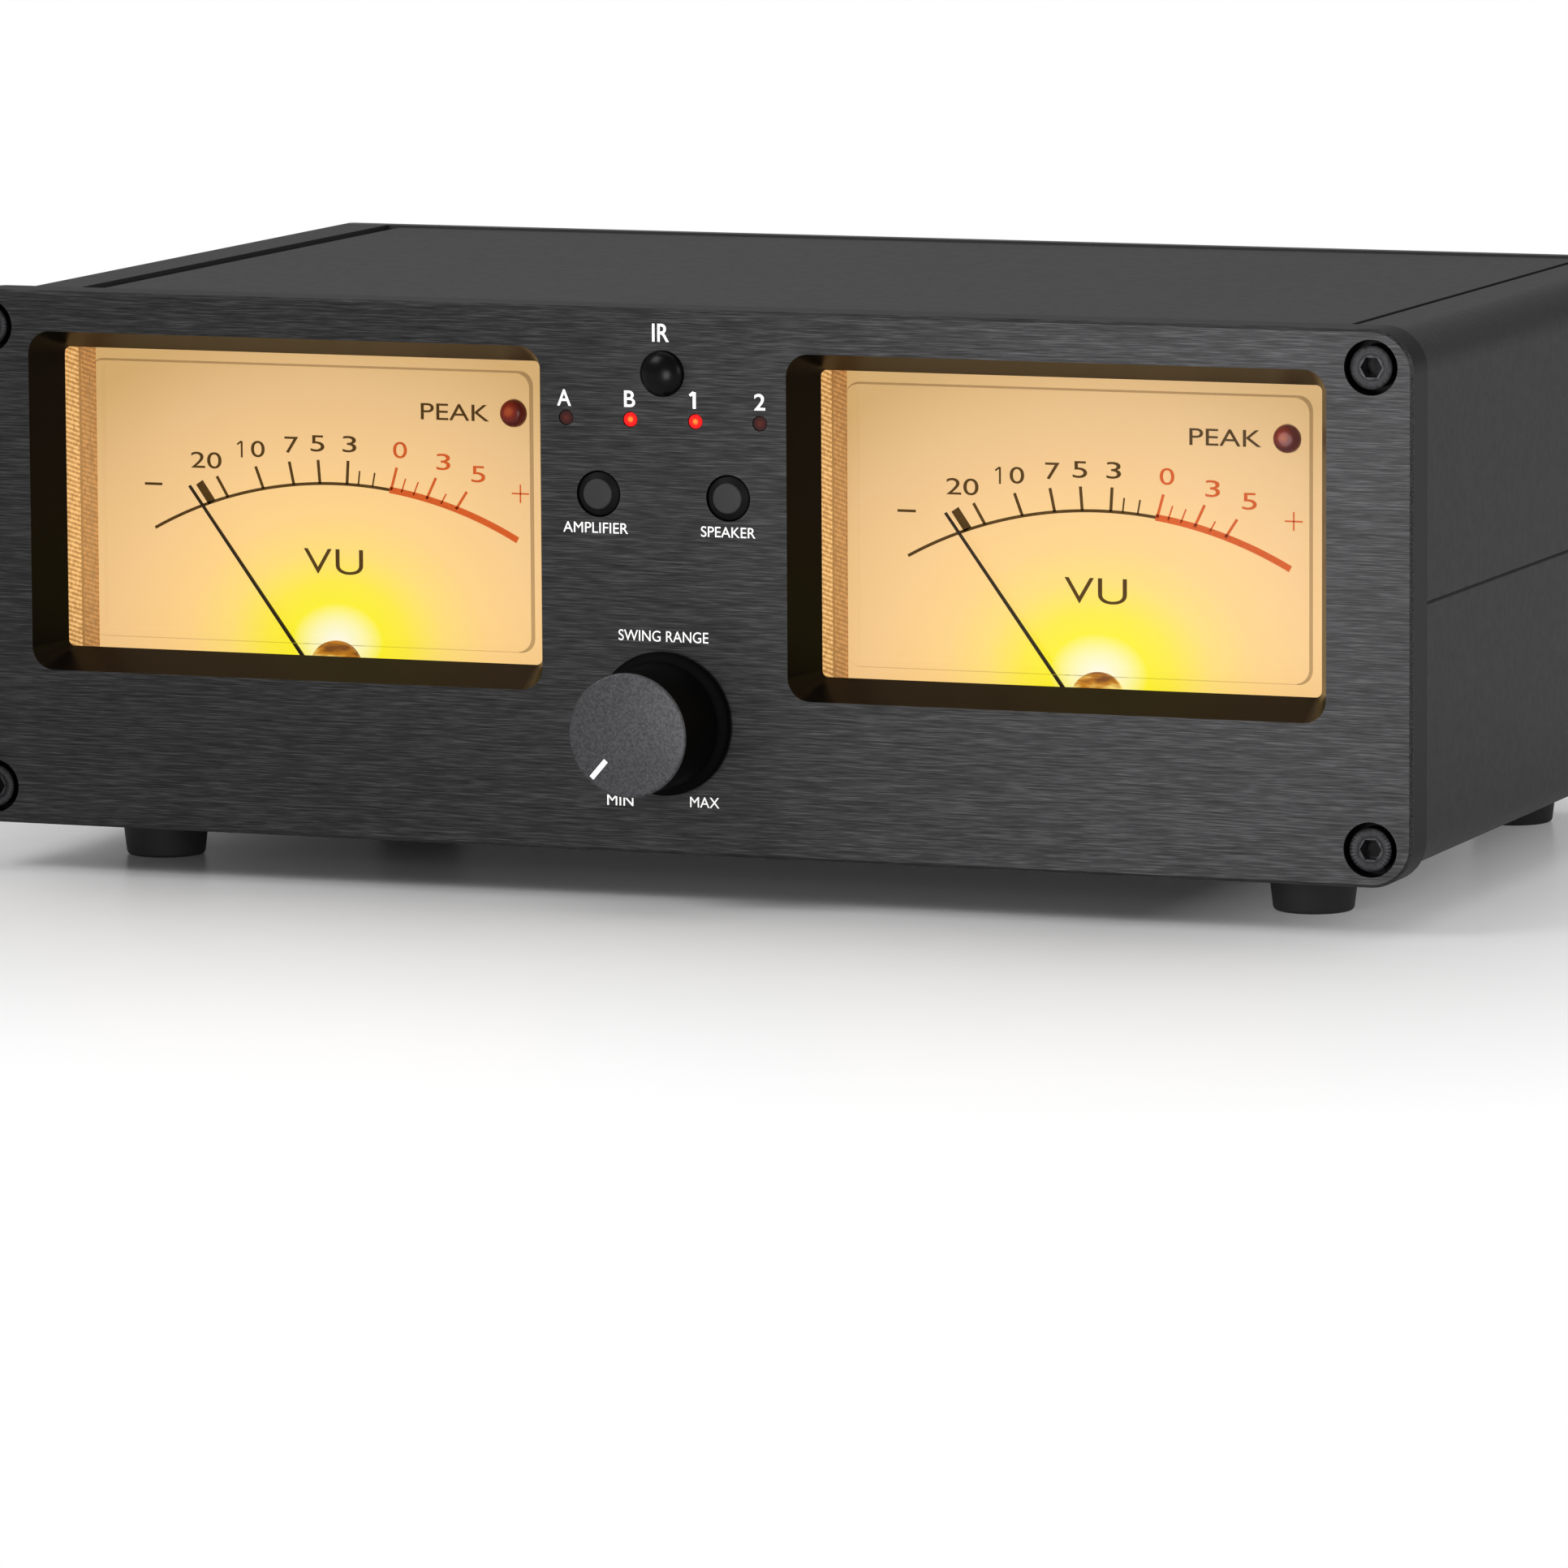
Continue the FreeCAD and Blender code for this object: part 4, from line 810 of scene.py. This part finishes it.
def push_button(name):
    """A button with a sunk cone round its cap and a black ring in the cone, which stands for the shade in the
    gap round the cap.
    """
    # Outlines: radius and depth in millimetres
    cap = ((0, 0.05), (1.85, 0), (2.0, 0.2), (2.6, 1.1), (2.8, 6.6), (3.7, 6.65), (3.7, 7.65), (0, 7.65))
    rim = ((2.0, 0.12), (2.78, 0.7), (2.82, 1.3), (2.6, 1.3), (1.95, 0.4), (2.0, 0.12))
    low, high = (Vector(corner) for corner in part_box(f"{name}_button"))
    centre = Vector(((low.x + high.x) / 2, low.y, (low.z + high.z) / 2))
    work = bmesh.new()
    turned(work, [(radius * MM, depth * MM) for radius, depth in cap], centre, bevel=BUTTON_BEVEL)
    piece = finished(f"{name}_cap", work, FINISHES["button_grey"], body=f"{name}_key")
    # Painted shade: a black ring put in the gap round the cap, where there is only shade
    ring = bmesh.new()
    turned(ring, [(radius * MM, depth * MM) for radius, depth in rim], centre)
    finished(f"{name}_ring", ring, FINISHES["switch_black"], body=f"{name}_key")
    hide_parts(f"{name}_button")


knob()
feet()
infrared_dome()
push_button("amplifier")
push_button("speaker")

# Floor, light and camera

FLOOR_HALF = 12
FADE_REACH = 0.15
FADE_RIGHT = 60 * MM
WORLD_STRENGTH = 0.5


def floor():
    """A pale floor that fades to white away from the object, for the camera and for reflections."""
    finish = Finish("floor")
    ahead = (FRONT - finish.y).maths("MAXIMUM", 0) + (finish.y - REAR).maths("MAXIMUM", 0) * 2
    aside = (finish.x - FADE_RIGHT).maths("MAXIMUM", panel_low.x - finish.x).maths("MAXIMUM", 0)
    reach = (aside * aside + ahead * ahead).maths("SQRT")
    far = finish.ramp(reach, [(0.0, (0, 0, 0, 1)), (FADE_REACH, (1, 1, 1, 1))])
    path = finish.tree.nodes.new("ShaderNodeLightPath")
    kinds = ("Is Camera Ray", "Is Glossy Ray", "Is Transmission Ray")
    rays = [Wire(finish, path.outputs[kind]) for kind in kinds]
    seen = rays[0].maths("MAXIMUM", rays[1]).maths("MAXIMUM", rays[2])
    grain = finish.noise(120)
    matte = finish.node("ShaderNodeBsdfPrincipled", None,
                        {"Base Color": finish.mix(grain, tone("E2E2E2"), tone("E8E8E8")), "Roughness": 0.3})
    white = finish.node("ShaderNodeEmission", None, {"Color": (1, 1, 1, 1), "Strength": 1.0})
    both = finish.node("ShaderNodeMixShader", None, {0: far * seen, 1: matte, 2: white})
    finish.tree.links.new(both.socket, finish.tree.nodes.new("ShaderNodeOutputMaterial").inputs[0])
    work = bmesh.new()
    bmesh.ops.create_grid(work, x_segments=2, y_segments=2, size=FLOOR_HALF)
    mesh = bpy.data.meshes.new("floor")
    work.to_mesh(mesh)
    work.free()
    mesh.materials.append(finish.material)
    plane = bpy.data.objects.new("floor", mesh)
    bpy.context.collection.objects.link(plane)


def soft_light(name, place, aim, wide, tall, power):
    """A rectangular lamp that points at a place."""
    data = bpy.data.lights.new(name, "AREA")
    data.shape = "RECTANGLE"
    data.size = wide
    data.size_y = tall
    data.energy = power
    item = bpy.data.objects.new(name, data)
    item.location = place
    item.rotation_euler = (Vector(aim) - Vector(place)).to_track_quat("-Z", "Y").to_euler()
    bpy.context.collection.objects.link(item)


# The photograph's camera, fitted to the panel's corners and screws, with its angles in degrees

AZIMUTH = 21.03
ELEVATION = 7.715
ROLL = -0.338
CAMERA_DISTANCE = 1377.98 * MM
TARGET_X = 16.249 * MM
TARGET_DROP = 25.242 * MM
FOCAL_PIXELS = 13345.7
PHOTO_PIXELS = 1932
SENSOR_WIDE = 36


def camera():
    """Places the camera, which looks at a place in the plane of the panel's front."""
    azimuth, elevation, roll = (math.radians(angle) for angle in (AZIMUTH, ELEVATION, ROLL))
    target = Vector((TARGET_X, FRONT, MIDDLE - TARGET_DROP))
    back = Vector((math.sin(azimuth) * math.cos(elevation), -math.cos(azimuth) * math.cos(elevation),
                   math.sin(elevation)))
    right = Vector((0, 0, 1)).cross(back).normalized()
    up = back.cross(right)
    tilted_right = right * math.cos(roll) + up * math.sin(roll)
    tilted_up = up * math.cos(roll) - right * math.sin(roll)
    data = bpy.data.cameras.new("camera")
    data.sensor_width = SENSOR_WIDE
    data.lens = SENSOR_WIDE * FOCAL_PIXELS / PHOTO_PIXELS
    item = bpy.data.objects.new("camera", data)
    turn = Matrix((tilted_right, tilted_up, back)).transposed().to_4x4()
    item.matrix_world = Matrix.Translation(target + back * CAMERA_DISTANCE) @ turn
    bpy.context.collection.objects.link(item)
    bpy.context.scene.camera = item


floor()
soft_light("key", place=(-0.55, -0.7, 0.75), aim=(0, -0.05, 0.03), wide=0.45, tall=0.45, power=5)
soft_light("panel", place=(0.02, -0.3, 0.04), aim=(0.095, -0.085, 0.045), wide=0.08, tall=0.08, power=0.26)
soft_light("side", place=(0.36, -0.22, 0.15), aim=(0.1, -0.02, 0.05), wide=0.15, tall=0.15, power=0.3)
soft_light("top", place=(0.0, 0.2, 1.4), aim=(0, 0, 0.05), wide=1.5, tall=1.2, power=6)
world = bpy.data.worlds.new("studio")
world.use_nodes = True
world.node_tree.nodes["Background"].inputs["Color"].default_value = (1, 1, 1, 1)
world.node_tree.nodes["Background"].inputs["Strength"].default_value = WORLD_STRENGTH
bpy.context.scene.world = world
camera()
bpy.context.scene.view_settings.view_transform = "Standard"
